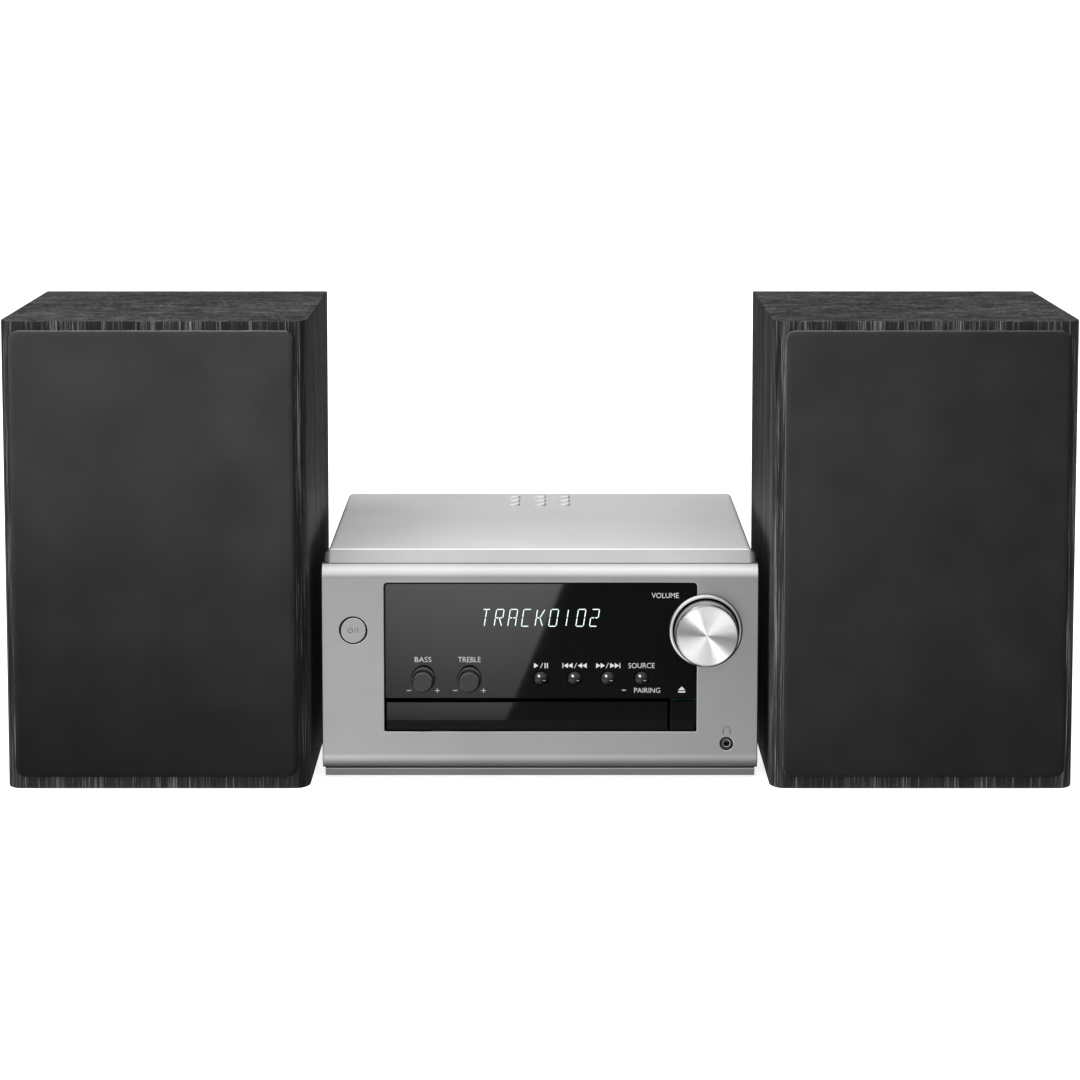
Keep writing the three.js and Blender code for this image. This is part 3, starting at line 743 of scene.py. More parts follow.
piece(
    "volume_ring",
    "receiver",
    [turned(ring_profile, (bezel_centre[0], 0, bezel_centre[2]), steps=160)],
    ring_metal("ring_aluminium", 0.5, 0.3),
    ["knob_bezel"],
    sharp=50,
)

# ---------------------------------------------------------------- the tone knobs, the keys and the power key
# Dark grey moulded knobs with a fluted side over a round collar, four small domed keys of polished
# black, and a silver power key in a ring-shaped gap.
TONE_RADIUS = 5.05
COLLAR = 5.9
KEY_RADIUS = 3.3


def satin_plastic(name, level, roughness=0.42, depth=0.006, size=0.35, tone=(1, 1, 1.02)):
    """Moulded plastic: a fine spark-eroded grain with a soft, slightly uneven sheen."""
    made = Finish(name, tuple(level * t for t in tone), roughness)
    grain = made.noise(made.place(), size, 2, 0.6)
    cloud = made.noise(made.place(), 18, 3)
    dark, light = [tuple(level * t * k for t in tone) for k in (0.8, 1.25)]
    made.feed(
        Base_Color=made.ramp(grain * 0.4 + cloud * 0.6, (0.3, dark), (0.7, light)),
        Roughness=roughness - 0.06 + cloud * 0.08 + grain * 0.04,
        Normal=made.bump(grain, depth),
    )
    return made


knob_plastic = satin_plastic("knob_plastic", 0.009, 0.3)
for name, centre in TONE_KNOBS.items():
    low, high = span(f"{name}_knob")
    front, base = low[1], FACE
    cap = rounded(
        [
            [0, front + 0.1],
            [TONE_RADIUS - 0.75, front],
            [TONE_RADIUS - 0.1, front + 0.55],
            [TONE_RADIUS - 0.1, front + 1.2],
            [0, front + 1.2],
        ],
        [0, 0.12, 0.15, 0, 0],
        4,
    )[5:-5]
    grip = [
        [0, front + 1.1],
        [TONE_RADIUS - 0.1, front + 1.1],
        [TONE_RADIUS, front + 1.5],
        [TONE_RADIUS, base - 1.7],
    ]
    collar = rounded(
        [[0, base - 1.9], [COLLAR - 0.5, base - 1.9], [COLLAR, base - 1.4], [COLLAR, base], [0, base]],
        [0, 0.2, 0.3, 0.1, 0],
        4,
    )[5:-5]
    here = (centre[0], 0, centre[2])
    piece(
        f"{name}_knob_turned",
        f"{name}_knob",
        [turned([[0, cap[0, 1]], *cap, [0, cap[-1, 1]]], here)],
        knob_plastic,
        [f"{name}_knob"],
        add=[
            turned([*grip, [0, base - 1.7]], here, steps=192, flutes=32, flute_depth=0.035),
            turned([[0, collar[0, 1]], *collar, [0, collar[-1, 1]]], here),
            turned([[0, base - 0.2], [3, base - 0.2], [3, high[1]], [0, high[1]]], here, steps=32),
        ],
        sharp=45,
    )

key_black = polished_black("key_black", 0.004, 0.05, 0.14)
for name, centre in KEYS.items():
    low, high = span(f"{name}_button")
    r = np.linspace(0, KEY_RADIUS - 0.25, 14)
    dome = np.stack([r, low[1] + 1.75 * (r / KEY_RADIUS) ** 2], -1)
    side = arc((KEY_RADIUS - 0.3, dome[-1, 1] + 0.35), 0.3, -60, 0, 4)
    profile = np.concatenate([dome, side, [[KEY_RADIUS, high[1]], [0, high[1]]]])
    piece(
        f"{name}_key",
        f"{name}_button",
        [turned(profile, (centre[0], 0, centre[2]), steps=64)],
        key_black,
        [f"{name}_button"],
        sharp=50,
    )


def lathe_profile(points, radii, steps=6):
    """A profile whose corners are rounded, except its first and last points, which stay as given."""
    corners = rounded(points, radii, steps)[steps + 1 : -steps - 1]
    return np.concatenate([points[:1], corners, points[-1:]])


power_radius = (power_high[0] - power_low[0]) / 2
power_profile = lathe_profile(
    [
        [0, power_low[1]],
        [power_radius, power_low[1]],
        [power_radius, power_high[1]],
        [0, power_high[1]],
    ],
    [0, 0.35, 0.3, 0],
)
piece(
    "power_key",
    "power_button",
    [turned(power_profile, (power_centre[0], 0, power_centre[2]))],
    satin_silver,
    ["power_button"],
    sharp=50,
)
socket_plastic = satin_plastic("socket_plastic", 0.012, 0.35)
jack_here = (jack_centre[0], 0, jack_centre[2])
piece(
    "headphone_socket",
    "receiver",
    [block((jack_low[0], FACE + 2.9, jack_low[2]), (jack_high[0], jack_high[1], jack_high[2]))],
    socket_plastic,
    ["headphone_jack"],
    add=[
        turned(
            [[0, FACE + 0.4], [2.5, FACE + 0.4], [2.85, FACE + 0.7], [2.85, FACE + 3], [0, FACE + 3]],
            jack_here,
        )
    ],
    cut=[
        turned(
            [[0, FACE], [2.0, FACE], [1.8, FACE + 1.0], [1.8, FACE + 11], [0, FACE + 11]],
            jack_here,
            steps=48,
        )
    ],
    bevel=0.1,
    rings=2,
)
piece(
    "headphone_socket_sleeve",
    "receiver",
    [
        turned(
            [
                [1.78, FACE + 1.2],
                [1.78, FACE + 6],
                [1.5, FACE + 6],
                [1.5, FACE + 1.4],
                [1.6, FACE + 1.2],
            ],
            jack_here,
            steps=48,
        )
    ],
    satin_metal("nickel_plate", 0.66, 0.18, grain=0.4, depth=0.002),
    bevel=0.05,
)

# ---------------------------------------------------------------- the printed markings
# Thin pale ink on the window and dark ink on the panel: the controls' plain names and signs, each a film
# of ink.
INK = 0.05  # how far the film stands off the surface
INK_DEPTH = 0.09


def lettering(words, left, right, bottom, top, surface_y, weight=-0.008):
    """Words as one closed part, stretched to fill a rectangle in (x, z) on a surface that faces the
    listener."""
    font = bpy.data.curves.new("words", "FONT")
    font.body, font.offset, font.extrude, font.resolution_u = words, weight, 0.5, 3
    text = bpy.data.objects.new("words", font)
    scene.collection.objects.link(text)
    mesh = bpy.data.meshes.new_from_object(text.evaluated_get(bpy.context.evaluated_depsgraph_get()))
    points = np.empty(len(mesh.vertices) * 3)
    mesh.vertices.foreach_get("co", points)
    points = points.reshape(-1, 3)
    faces = [list(face.vertices) for face in mesh.polygons]
    bpy.data.objects.remove(text)
    bpy.data.meshes.remove(mesh)
    low, high = points.min(0), points.max(0)
    share = (points - low) / (high - low)
    x = left + share[:, 0] * (right - left)
    z = bottom + share[:, 1] * (top - bottom)
    y = surface_y + INK_DEPTH - INK - share[:, 2] * INK_DEPTH
    return np.stack([x, y, z], -1), faces


def flat(outline, surface_y):
    return prism(outline, surface_y - INK, surface_y - INK + INK_DEPTH)


def half_ring(centre, radius, width, first, last, low, high, steps=24):
    """A flat arc-shaped bar between two angles, carried along Y."""
    outer = arc(centre, radius + width / 2, first, last, steps)
    inner = arc(centre, radius - width / 2, last, first, steps)
    return prism(np.concatenate([outer, inner]), low, high)


def arrow(x, z, size, way):
    return np.array([[x, z - size / 2], [x + way * size * 0.85, z], [x, z + size / 2]])


def bars(x, z, height, width, *offsets):
    return [
        rectangle((x + o - width / 2, z - height / 2), (x + o + width / 2, z + height / 2))
        for o in offsets
    ]


def slash(x, z, height):
    return np.array(
        [
            [x - 0.7, z - height / 2],
            [x - 0.4, z - height / 2],
            [x + 0.7, z + height / 2],
            [x + 0.4, z + height / 2],
        ]
    )


label_low, label_high = TONE_KNOBS["bass"][2] + 8.1, TONE_KNOBS["bass"][2] + 10.6
sign_z = KEYS["play"][2] + 6.4
sign_x = {name: centre[0] for name, centre in KEYS.items()}
SIGN = 2.5
window_marks = [
    lettering("VOLUME", 53.7, 66.7, 89.0, 91.5, WINDOW_FACE),
    lettering("SOURCE", 42.6, 55.2, sign_z - 1.25, sign_z + 1.25, WINDOW_FACE),
    lettering("PAIRING", 45.4, 57.9, 42.8, 45.2, WINDOW_FACE),
]
for name, centre in TONE_KNOBS.items():
    half = {"bass": 4.0, "treble": 5.4}[name]
    window_marks.append(
        lettering(name.upper(), centre[0] - half, centre[0] + half, label_low, label_high, WINDOW_FACE)
    )
    for side in (-1, 1):
        x, z = centre[0] + side * 6.8, centre[2] - 5.8
        window_marks.append(flat(rectangle((x - 1.1, z - 0.17), (x + 1.1, z + 0.17)), WINDOW_FACE))
        if side > 0:
            window_marks.append(
                flat(rectangle((x - 0.17, z - 1.1), (x + 0.17, z + 1.1)), WINDOW_FACE - 0.01)
            )
outlines = [
    arrow(sign_x["play"] - 3.3, sign_z, SIGN, 1),
    slash(sign_x["play"] + 0.4, sign_z, SIGN),
    *bars(sign_x["play"] + 2.6, sign_z, SIGN, 0.5, -0.55, 0.55),
    *bars(sign_x["previous"], sign_z, SIGN, 0.4, -5.7),
    *(arrow(sign_x["previous"] + dx, sign_z, SIGN, -1) for dx in (-3.2, -1.0, 3.6, 5.8)),
    slash(sign_x["previous"] + 0.4, sign_z, SIGN),
    *(arrow(sign_x["next"] + dx, sign_z, SIGN, 1) for dx in (-5.8, -3.6, 1.0, 3.2)),
    slash(sign_x["next"] - 0.4, sign_z, SIGN),
    *bars(sign_x["next"], sign_z, SIGN, 0.4, 5.7),
    rectangle((39.5, 43.9), (41.4, 44.2)),
]
eject_x = middle(eject_low, eject_high)[0] - 0.4
outlines += [
    np.array([[eject_x - 1.7, 44.1], [eject_x + 1.7, 44.1], [eject_x, 45.9]]),
    rectangle((eject_x - 1.7, 42.9), (eject_x + 1.7, 43.6)),
]
window_marks += [flat(outline, WINDOW_FACE) for outline in outlines]


def printed(name, level):
    """Screen-printed ink: flat, with a slightly ragged density."""
    made = Finish(name, grey(level), 0.55)
    density = made.noise(made.place(), 0.25, 2)
    made.feed(
        Base_Color=made.ramp(density, (0.25, grey(level * 0.8)), (0.7, grey(level * 1.08))),
        Roughness=0.5 + density * 0.15,
        Normal=made.bump(density, 0.004),
    )
    return made


pale_ink = printed("pale_ink", 0.5)
dark_ink = printed("dark_ink", 0.09)
piece("window_markings", "receiver", window_marks, pale_ink, sharp=30)
ear_x, ear_z = jack_centre[0], jack_centre[2] + 6.6
headphones = [
    half_ring((ear_x, ear_z), 1.75, 0.32, 0, 180, FACE - INK, FACE - INK + INK_DEPTH),
    flat(rectangle((ear_x - 2.05, ear_z - 1.9), (ear_x - 1.25, ear_z + 0.02)), FACE),
    flat(rectangle((ear_x + 1.25, ear_z - 1.9), (ear_x + 2.05, ear_z + 0.02)), FACE),
]
piece("headphone_sign", "receiver", headphones, dark_ink, sharp=30)
mark_x, mark_z = power_centre[0] - 1.45, power_centre[2]
power_mark = [
    half_ring((mark_x, mark_z), 1.15, 0.4, 125, 415, power_low[1] - INK, power_low[1] - INK + INK_DEPTH),
    *(flat(bar, power_low[1]) for bar in bars(mark_x, mark_z + 0.95, 1.5, 0.4, 0)),
    flat(slash(mark_x + 2.2, mark_z, 2.7), power_low[1]),
    *(flat(bar, power_low[1]) for bar in bars(mark_x + 3.6, mark_z, 2.5, 0.42, 0)),
]
piece("power_sign", "power_button", power_mark, dark_ink, sharp=30)

# ---------------------------------------------------------------- the lit characters
# Nine leaning characters of fourteen segments each, lit pale blue-white behind the window. Each segment
# is a bar with pointed ends.
LETTER_HEIGHT = 8.2
LETTER_WIDTH = 3.6
LETTER_PITCH = 6.55
SEGMENT = 0.42
LEAN = np.tan(np.radians(9))
NODES = np.array([[0, 1], [0.5, 1], [1, 1], [0, 0.5], [0.5, 0.5], [1, 0.5], [0, 0], [0.5, 0], [1, 0]])
SEGMENTS = {
    "top": (0, 2),
    "upper_right": (2, 5),
    "lower_right": (5, 8),
    "bottom": (8, 6),
    "lower_left": (6, 3),
    "upper_left": (3, 0),
    "left_bar": (3, 4),
    "right_bar": (4, 5),
    "upper_stem": (1, 4),
    "lower_stem": (4, 7),
    "upper_slant": (4, 2),
    "lower_slant": (4, 8),
}
SHAPES = {
    "T": "top upper_stem lower_stem",
    "R": "top upper_right upper_left lower_left left_bar right_bar lower_slant",
    "A": "top upper_right lower_right upper_left lower_left left_bar right_bar",
    "C": "top bottom upper_left lower_left",
    "K": "upper_left lower_left left_bar upper_slant lower_slant",
    "0": "top upper_right lower_right bottom lower_left upper_left",
    "1": "upper_stem lower_stem",
    "2": "top upper_right left_bar right_bar lower_left bottom",
}


def lit_bars(message, centre_x, base_z, surface_y):
    """Every lit segment from a to b as six points: a, four at half the bar's width beside a and b, and
    b; then all lean over by their height times the lean."""
    ends = [
        (NODES[SEGMENTS[part][end]] * [LETTER_WIDTH, LETTER_HEIGHT] + [place * LETTER_PITCH, 0])
        for place, letter in enumerate(message)
        for part in SHAPES[letter].split()
        for end in (0, 1)
    ]
    a, b = np.array(ends).reshape(-1, 2, 2).transpose(1, 0, 2)
    along = (b - a) / np.linalg.norm(b - a, axis=1)[:, None]
    across = along[:, ::-1] * [-1, 1]
    a, b = a + along * 0.16, b - along * 0.16
    half = SEGMENT / 2
    near, far = a + along * half, b - along * half
    outline = np.stack(
        [a, near + across * half, far + across * half, b, far - across * half, near - across * half], 1
    )
    outline[..., 0] += outline[..., 1] * LEAN
    outline += [
        centre_x - (len(message) - 1) * LETTER_PITCH / 2 - LETTER_WIDTH / 2 - LETTER_HEIGHT * LEAN / 2,
        base_z,
    ]
    return [flat(shape, surface_y) for shape in outline]


glow = Finish("display_glow", (0.5, 0.6, 0.6), 0.4)
ripple = glow.noise(glow.place(), 0.8, 1)
glow.feed(
    Emission_Color=glow.ramp(ripple, (0.3, (0.66, 0.86, 0.88)), (0.7, (0.86, 1.0, 1.0))),
    Emission_Strength=0.55,
    Roughness=0.35 + ripple * 0.1,
)
piece("display_characters", "receiver", lit_bars("TRACK0102", 0, 75.3, WINDOW_FACE), glow, sharp=30)

# ---------------------------------------------------------------- the speaker cabinets
# Board boxes wrapped in black ash vinyl: the grain runs up the sides and the front and across the top.
# The upright front edges are rounded, and the baffle is cut for two drivers and the grille's pegs.
FRONT_EDGE = (6.5, 12.0)  # the rounded front edges' size along X and Y
BAFFLE = 12.0
WALL = 9.5
WOOFER_SEAT, WOOFER_HOLE = 62.5, 56
TWEETER_SEAT, TWEETER_HOLE = 32.5, 26
PORT_HOLE = 21.3
CUP_HALF = 25
PEG_HOLE = 3.6
PEG_HOLE_DEPTH = 9
PEG_SIDE, PEG_FOOT, PEG_HEAD = 5, 8.1, 7.8  # from the grille's edges to the pegs
SIDES = ("left", "right")


def cabinet_vinyl():
    """Black ash grain: long lighter streaks, short dark pores and slow waves, along Z on the sides and front
    and along X on the top and bottom, with the streaks pressed into the surface. The faces that lie flat,
    top and bottom, are also painted lighter by a fixed amount: painted light."""
    made = Finish("cabinet_vinyl", grey(0.02), 0.45, Specular_IOR_Level=0.25)
    normal = made.node("ShaderNodeNewGeometry", output=1)
    flat_side = made.ease(made.axis(normal, 2).math("ABSOLUTE", made.axis(normal, 2)), 0.6, 0.8)

    def grain(stretch, bend):
        waves = made.noise(made.place(tuple(s * 6 for s in stretch)), 5, 2)
        streaks = made.noise(made.place(stretch), 0.65, 4, 0.65, bend)
        broad = made.noise(made.place(stretch), 4.5, 3, 0.6, bend)
        return streaks * 0.66 + broad * 0.26 + waves * 0.08

    upright = grain((1, 1, 70), 0.1)
    across = grain((3, 1, 1), 0.3)
    mixed = upright + (across - upright) * flat_side
    # Painted light: the flat top and bottom faces get a fixed lift in colour, as a top lit from above would
    # show.
    light = made.ease(mixed, 0.46, 0.62) + flat_side * 0.12
    pores = made.ease(mixed, 0.46, 0.38)
    made.feed(
        Base_Color=made.ramp(light, (0.0, grey(0.0012)), (0.45, grey(0.01)), (1.0, grey(0.17))),
        Roughness=0.5 - light * 0.1 + pores * 0.15,
        Normal=made.bump(light * 0.7 - pores * 0.5 + 0.5, 0.09),
    )
    return made


vinyl = cabinet_vinyl()


def cabinet_outline(low, high):
    """The plan: straight sides and back, and a quarter of an ellipse at each front corner."""
    turn = np.linspace(0, np.pi / 2, 15)
    corner = np.stack([FRONT_EDGE[0] * (1 - np.cos(turn)), FRONT_EDGE[1] * (1 - np.sin(turn))], -1)
    left = np.array([low[0], low[1]]) + corner
    right = np.array([high[0], low[1]]) + corner[::-1] * [-1, 1]
    return np.concatenate([[[low[0], high[1]]], left, right, [[high[0], high[1]]]])


def bore(centre, radius, low, high, steps=96):
    return prism(circle((centre[0], centre[2]), radius, steps), low, high)


def peg_places(side):
    low, high = span(f"{side}_grille_frame")
    return [
        np.array([x, 0, z])
        for x in (low[0] + PEG_SIDE, high[0] - PEG_SIDE)
        for z in (low[2] + PEG_FOOT, high[2] - PEG_HEAD)
    ]


for side in SIDES:
    low, high = span(f"{side}_cabinet")
    woofer, tweeter = [middle(*span(f"{side}_{name}")) for name in ("woofer_frame", "tweeter")]
    port, cup = [middle(*span(f"{side}_{name}")) for name in ("port_tube", "terminal_cup")]
    inside, rear = low[1] + BAFFLE, high[1] - WALL
    piece(
        f"{side}_cabinet_box",
        f"{side}_speaker",
        [prism(cabinet_outline(low, high), low[2], high[2], axis=2)],
        vinyl,
        [f"{side}_cabinet"],
        cut=[
            block((low[0] + WALL, inside, low[2] + WALL), (high[0] - WALL, rear, high[2] - WALL)),
            bore(woofer, WOOFER_SEAT, low[1] - 1, low[1] + 4),
            bore(woofer, WOOFER_HOLE, low[1] + 3, inside + 1),
            bore(tweeter, TWEETER_SEAT, low[1] - 1, low[1] + 3),
            bore(tweeter, TWEETER_HOLE, low[1] + 2, inside + 1),
            bore(port, PORT_HOLE, rear - 1, high[1] + 1),
            block(
                (cup[0] - CUP_HALF, rear - 1, cup[2] - CUP_HALF),
                (cup[0] + CUP_HALF, high[1] + 1, cup[2] + CUP_HALF),
            ),
            *(
                bore(place, PEG_HOLE, low[1] - 1, low[1] + PEG_HOLE_DEPTH, 32)
                for place in peg_places(side)
            ),
        ],
        bevel=0.35,
        rings=2,
    )

# ---------------------------------------------------------------- the drivers
# A 12 cm woofer and a soft dome tweeter screwed into the baffle. The woofer is a moulded basket with a
# ring-shaped flange, a pressed paper cone on a rubber half-roll surround, and a ferrite magnet behind;
# the tweeter's dome sits in a shallow horn.
BASKET = [
    [52.5, 0.3],
    [62.2, 0.3],
    [62.2, 3.7],
    [55.4, 3.7],
    [55.4, 8],
    [32, 40],
    [16, 40],
    [16, 38],
    [31, 38],
    [52.5, 5],
]
BASKET_WINDOW = 14.0
BASKET_ROUND = [0.8, 0.9, 0.3, 0.3, 1.5, 2, 0.3, 0.3, 2, 1.5]
SURROUND = (44.4, 51.6)  # its inner and outer radius
CAP_RADIUS = 15
CONE_INNER = 15.2
WOOFER_SCREWS, TWEETER_SCREWS = 58.3, 27.6  # radius of each ring of screws
DIAGONALS = np.radians([45, 135, 225, 315])


def cone_profile(front):
    """The cone's front and back faces. The cone curves as a power of the radius with three pressed
    rings, the surround is half of a sine, and the cap is a cosine dome."""
    cap_r = np.linspace(0, CAP_RADIUS, 16)
    cap = np.stack([cap_r, front + 9 + 6.5 * (1 - np.cos(cap_r / CAP_RADIUS * np.pi / 2))], -1)
    r = np.linspace(CONE_INNER, SURROUND[0], 60)
    share = (r - CONE_INNER) / (SURROUND[0] - CONE_INNER)
    ribs = 0.28 * np.sin(share * np.pi * 6) * (share < 0.7)
    cone = np.stack([r, front + 1.6 + 14.4 * (1 - share) ** 0.82 + ribs], -1)
    r = np.linspace(SURROUND[0], SURROUND[1], 22)
    share = (r - SURROUND[0]) / (SURROUND[1] - SURROUND[0])
    roll = np.stack([r, front + 1.6 - 3.6 * np.sin(share * np.pi)], -1)
    face = np.concatenate([cap, cone[1:], roll[1:]])
    back = face[::-1].copy()
    back[:, 1] += np.where(back[:, 0] > SURROUND[0], 1.0, 1.5)
    back[:, 0] = np.minimum(back[:, 0], SURROUND[1] - 0.1)
    return face, back


def paper_finish():
    """Pulp pressed on a felt: flecked fibres and a soft mottled tone."""
    made = Finish("cone_pulp", grey(0.02), 0.7)
    fibre = made.noise(made.place((1, 3, 1)), 0.7, 4, 0.7, 1.5)
    mottle = made.noise(made.place(), 5, 3)
    made.feed(
        Base_Color=made.ramp(
            fibre * 0.5 + mottle * 0.5, (0.3, (0.014, 0.0135, 0.013)), (0.72, (0.042, 0.04, 0.038))
        ),
        Roughness=0.62 + fibre * 0.2,
        Normal=made.bump(fibre, 0.05),
    )
    return made


pulp = paper_finish()
driver_plastic = satin_plastic("driver_plastic", 0.014, 0.4, depth=0.01, size=0.5)
surround_rubber = satin_plastic("surround_rubber", 0.012, 0.55, depth=0.004, size=0.3)
black_screw = satin_plastic("black_screw", 0.03, 0.3, depth=0.002)
ferrite = satin_plastic("ferrite_magnet", 0.05, 0.6, depth=0.02, size=0.6, tone=(1, 0.98, 0.95))
for side in SIDES:
    body = f"{side}_speaker"
    centre = middle(*span(f"{side}_woofer_frame"))
    front = span(f"{side}_cabinet")[0][1]
    here = (centre[0], front, centre[2])
    piece(
        f"{side}_woofer_basket",
        body,
        [turned(rounded(BASKET, BASKET_ROUND, 4), here, steps=128)],
        driver_plastic,
        [f"{side}_woofer_frame"],
        cut=[
            block(
                (here[0] - 60, front + 11, here[2] - BASKET_WINDOW),
                (here[0] + 60, front + 36, here[2] + BASKET_WINDOW),
            ),
            block(
                (here[0] - BASKET_WINDOW, front + 11, here[2] - 60),
                (here[0] + BASKET_WINDOW, front + 36, here[2] + 60),
            ),
        ],
        sharp=40,
    )
    face, back = cone_profile(0.0)
    piece(
        f"{side}_woofer_cone_pulp",
        body,
        [turned(np.concatenate([face, back]), here, steps=128)],
        pulp,
        [f"{side}_woofer_cone"],
        sharp=60,
    )
    roll = face[face[:, 0] >= SURROUND[0] - 0.8]
    skin = np.concatenate([roll - [0, 0.25], roll[::-1] + [0, 0.1]])
    piece(
        f"{side}_woofer_surround",
        body,
        [turned(skin, here, steps=128)],
        surround_rubber,
        sharp=60,
    )
    magnet = [[0, 40.3], [34, 40.3], [34, 45], [40, 45], [40, 62], [36, 62], [36, 67], [0, 67]]
    magnet = lathe_profile(magnet, [0, 0.8, 0.2, 1.2, 1.2, 0.2, 1.0, 0], 4)
    piece(
        f"{side}_woofer_magnet_stack",
        body,
        [turned(magnet, here, steps=96)],
        ferrite,
        [f"{side}_woofer_magnet"],
        sharp=40,
    )
    for k, angle in enumerate(DIAGONALS):
        x, z = WOOFER_SCREWS * np.cos(angle), WOOFER_SCREWS * np.sin(angle)
        place = (here[0] + x, front + 0.45, here[2] + z)
        screw(f"{side}_woofer_screw_{k + 1}", body, place, 1, -1, black_screw, 2.4)

    centre = middle(*span(f"{side}_tweeter"))
    here = (centre[0], front, centre[2])
    dome = arc((0, 9.4), 10.4, -90, -35, 14)
    horn = lathe_profile(
        [
            [9.6, 4.6],
            [11, 4.2],
            [22, 0.9],
            [24, 0.45],
            [32.2, 0.45],
            [32.2, 2.7],
            [24, 2.7],
            [24, 14],
            [20, 14],
            [20, 32],
        ],
        [0.1, 0.8, 6, 1.5, 0.9, 0.3, 0.3, 1, 0.5, 1],
        5,
    )
    shell = [[0, 4.6], *horn, [0, 32]]
    piece(
        f"{side}_tweeter_plate",
        body,
        [turned(shell, here, steps=128)],
        driver_plastic,
        [f"{side}_tweeter"],
        sharp=40,
    )
    ring = arc((9.2, 3.9), 1.15, 180, 360, 12)
    dome_skin = [*dome, *ring, [10.35, 4.9], [0, 4.9]]
    piece(
        f"{side}_tweeter_dome",
        body,
        [turned(dome_skin, here, steps=96)],
        surround_rubber,
        sharp=60,
    )
    for k, angle in enumerate(DIAGONALS):
        x, z = TWEETER_SCREWS * np.cos(angle), TWEETER_SCREWS * np.sin(angle)
        place = (here[0] + x, front + 0.55, here[2] + z)
        screw(f"{side}_tweeter_screw_{k + 1}", body, place, 1, -1, black_screw, 2.0)

# ---------------------------------------------------------------- the grilles
# A black moulded ring with four pegs that push into the baffle. Fine black knitted cloth is stretched
# over its front, wrapped round its edges and glued behind.
CLOTH_CORNER = 4.2
CLOTH_EDGE = 2.6
CLOTH_THICK = 0.5
EDGE_SAVED = 0.86 * CLOTH_EDGE  # two rounded edges are shorter than two sharp ones by this
RETURN = 5.0  # how far the cloth is turned in behind the ring


def loop_of(low, high, inset, steps=8):
    """A rounded rectangle in (x, z), drawn in from the given corners by an inset, with evenly spaced
    points."""
    corner = max(CLOTH_CORNER - inset, 0.9)
    outline = rounded(rectangle(low + inset, high - inset), corner, steps)
    outline = np.concatenate([outline, outline[:1]])
    length = np.concatenate([[0], np.cumsum(np.linalg.norm(np.diff(outline, axis=0), axis=1))])
    even = np.linspace(0, 1, 241)[:-1]
    base = np.interp(even, length / length[-1], np.arange(len(outline)))
    return np.stack([np.interp(base, np.arange(len(outline)), outline[:, k]) for k in (0, 1)], -1)


def stretched_cloth(low, high):
    """Loops of the cloth from its middle outwards, each with its depth: across the face, over the
    rounded front edge as a quarter circle, back along the side, and in again behind the ring."""
    edge = np.linspace(0, np.pi / 2, 8)
    bend = [(CLOTH_EDGE * (1 - np.sin(a)), CLOTH_EDGE * (1 - np.cos(a))) for a in edge]
    depth = high[1] - low[1]
    back = [(0.0, depth - 1.2), (0.25, depth - 0.45), (0.9, depth), (RETURN, depth)]
    box = low[[0, 2]], high[[0, 2]]
    rings = [np.insert(loop_of(*box, inset), 1, low[1] + deep, axis=1) for inset, deep in bend + back]
    centre = np.insert((box[0] + box[1]) / 2, 1, low[1])
    inward = [centre + (rings[0] - centre) * share for share in np.linspace(0, 1, 24)[:-1]]
    return surface(np.stack(inward + rings), wrap_columns=True)


def knitted(name):
    """Fine knitted cloth: rows of small loops, a fleck in the yarn and a soft sheen at grazing angles."""
    made = Finish(name, grey(0.02), 0.9, Sheen_Weight=0.02, Sheen_Roughness=0.5, Specular_IOR_Level=0.04)
    point = made.place()
    x, y, z = [made.axis(point, k) for k in range(3)]
    wobble = made.noise(point, 3, 1) * 0.5
    across, up = (x + y + wobble) * (2 * np.pi / 0.86), (z + y + wobble) * (2 * np.pi / 0.72)
    stitch = across.math("SINE", across) * up.math("SINE", up)
    yarn = made.noise(point, 0.5, 2, 0.7)
    tuft = made.noise(point, 1.3, 2, 0.6)
    patch = made.noise(point, 28, 2)
    height = stitch * 0.25 + yarn * 0.35 + tuft * 0.25 + 0.2
    made.feed(
        Base_Color=made.ramp(
            height * 0.75 + patch * 0.25, (0.3, grey(0.0009)), (0.52, grey(0.0027)), (0.78, grey(0.007))
        ),
        Roughness=0.85 + yarn * 0.1,
        Normal=made.bump(height, 0.12),
    )
    return made


cloth = knitted("grille_knit")
grille_plastic = satin_plastic("grille_plastic", 0.016, 0.45)
for side in SIDES:
    low, high = span(f"{side}_grille_frame")
    front, back = low[1], span(f"{side}_cabinet")[0][1] - 1.0
    ring_outline = rounded(rectangle(low[[0, 2]], high[[0, 2]]), 3.2, 6)
    opening = rounded(rectangle(low[[0, 2]] + [10, 10], high[[0, 2]] - [10, 10]), 4, 6)
    pegs = []
    for place in peg_places(side):
        peg = lathe_profile(
            [[0, high[1]], [3, high[1]], [3, back - 4], [0, back - 4]], [0, 1.0, 0.2, 0], 4
        )
        pegs.append(turned(peg, (place[0], 0, place[2]), steps=32))
    piece(
        f"{side}_grille_ring",
        f"{side}_grille",
        [prism(ring_outline, front, back)],
        grille_plastic,
        [f"{side}_grille_frame"],
        add=pegs,
        cut=[prism(opening, front - 1, back + 1)],
        bevel=0.5,
        rings=2,
    )
    low, high = span(f"{side}_grille_cloth")
    mesh = mesh_of(f"{side}_grille_cloth_knit", [stretched_cloth(low, high)])
    sheet = bpy.data.objects.new(f"{side}_grille_cloth_knit", mesh)
    scene.collection.objects.link(sheet)
    mesh.materials.append(cloth.material)
    thick = sheet.modifiers.new("thickness", "SOLIDIFY")
    thick.thickness, thick.offset = CLOTH_THICK * MM, -1
    flat_size = [(high[k] - low[k] + 2 * (high[1] - low[1] + RETURN) - EDGE_SAVED) * MM for k in (0, 2)]
    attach(sheet, f"{side}_grille")
    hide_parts(f"{side}_grille_cloth")
    corner_cut = 4 * (high[1] - low[1] + RETURN) ** 2 * MM**2
    flat_size[0] * flat_size[1] - corner_cut

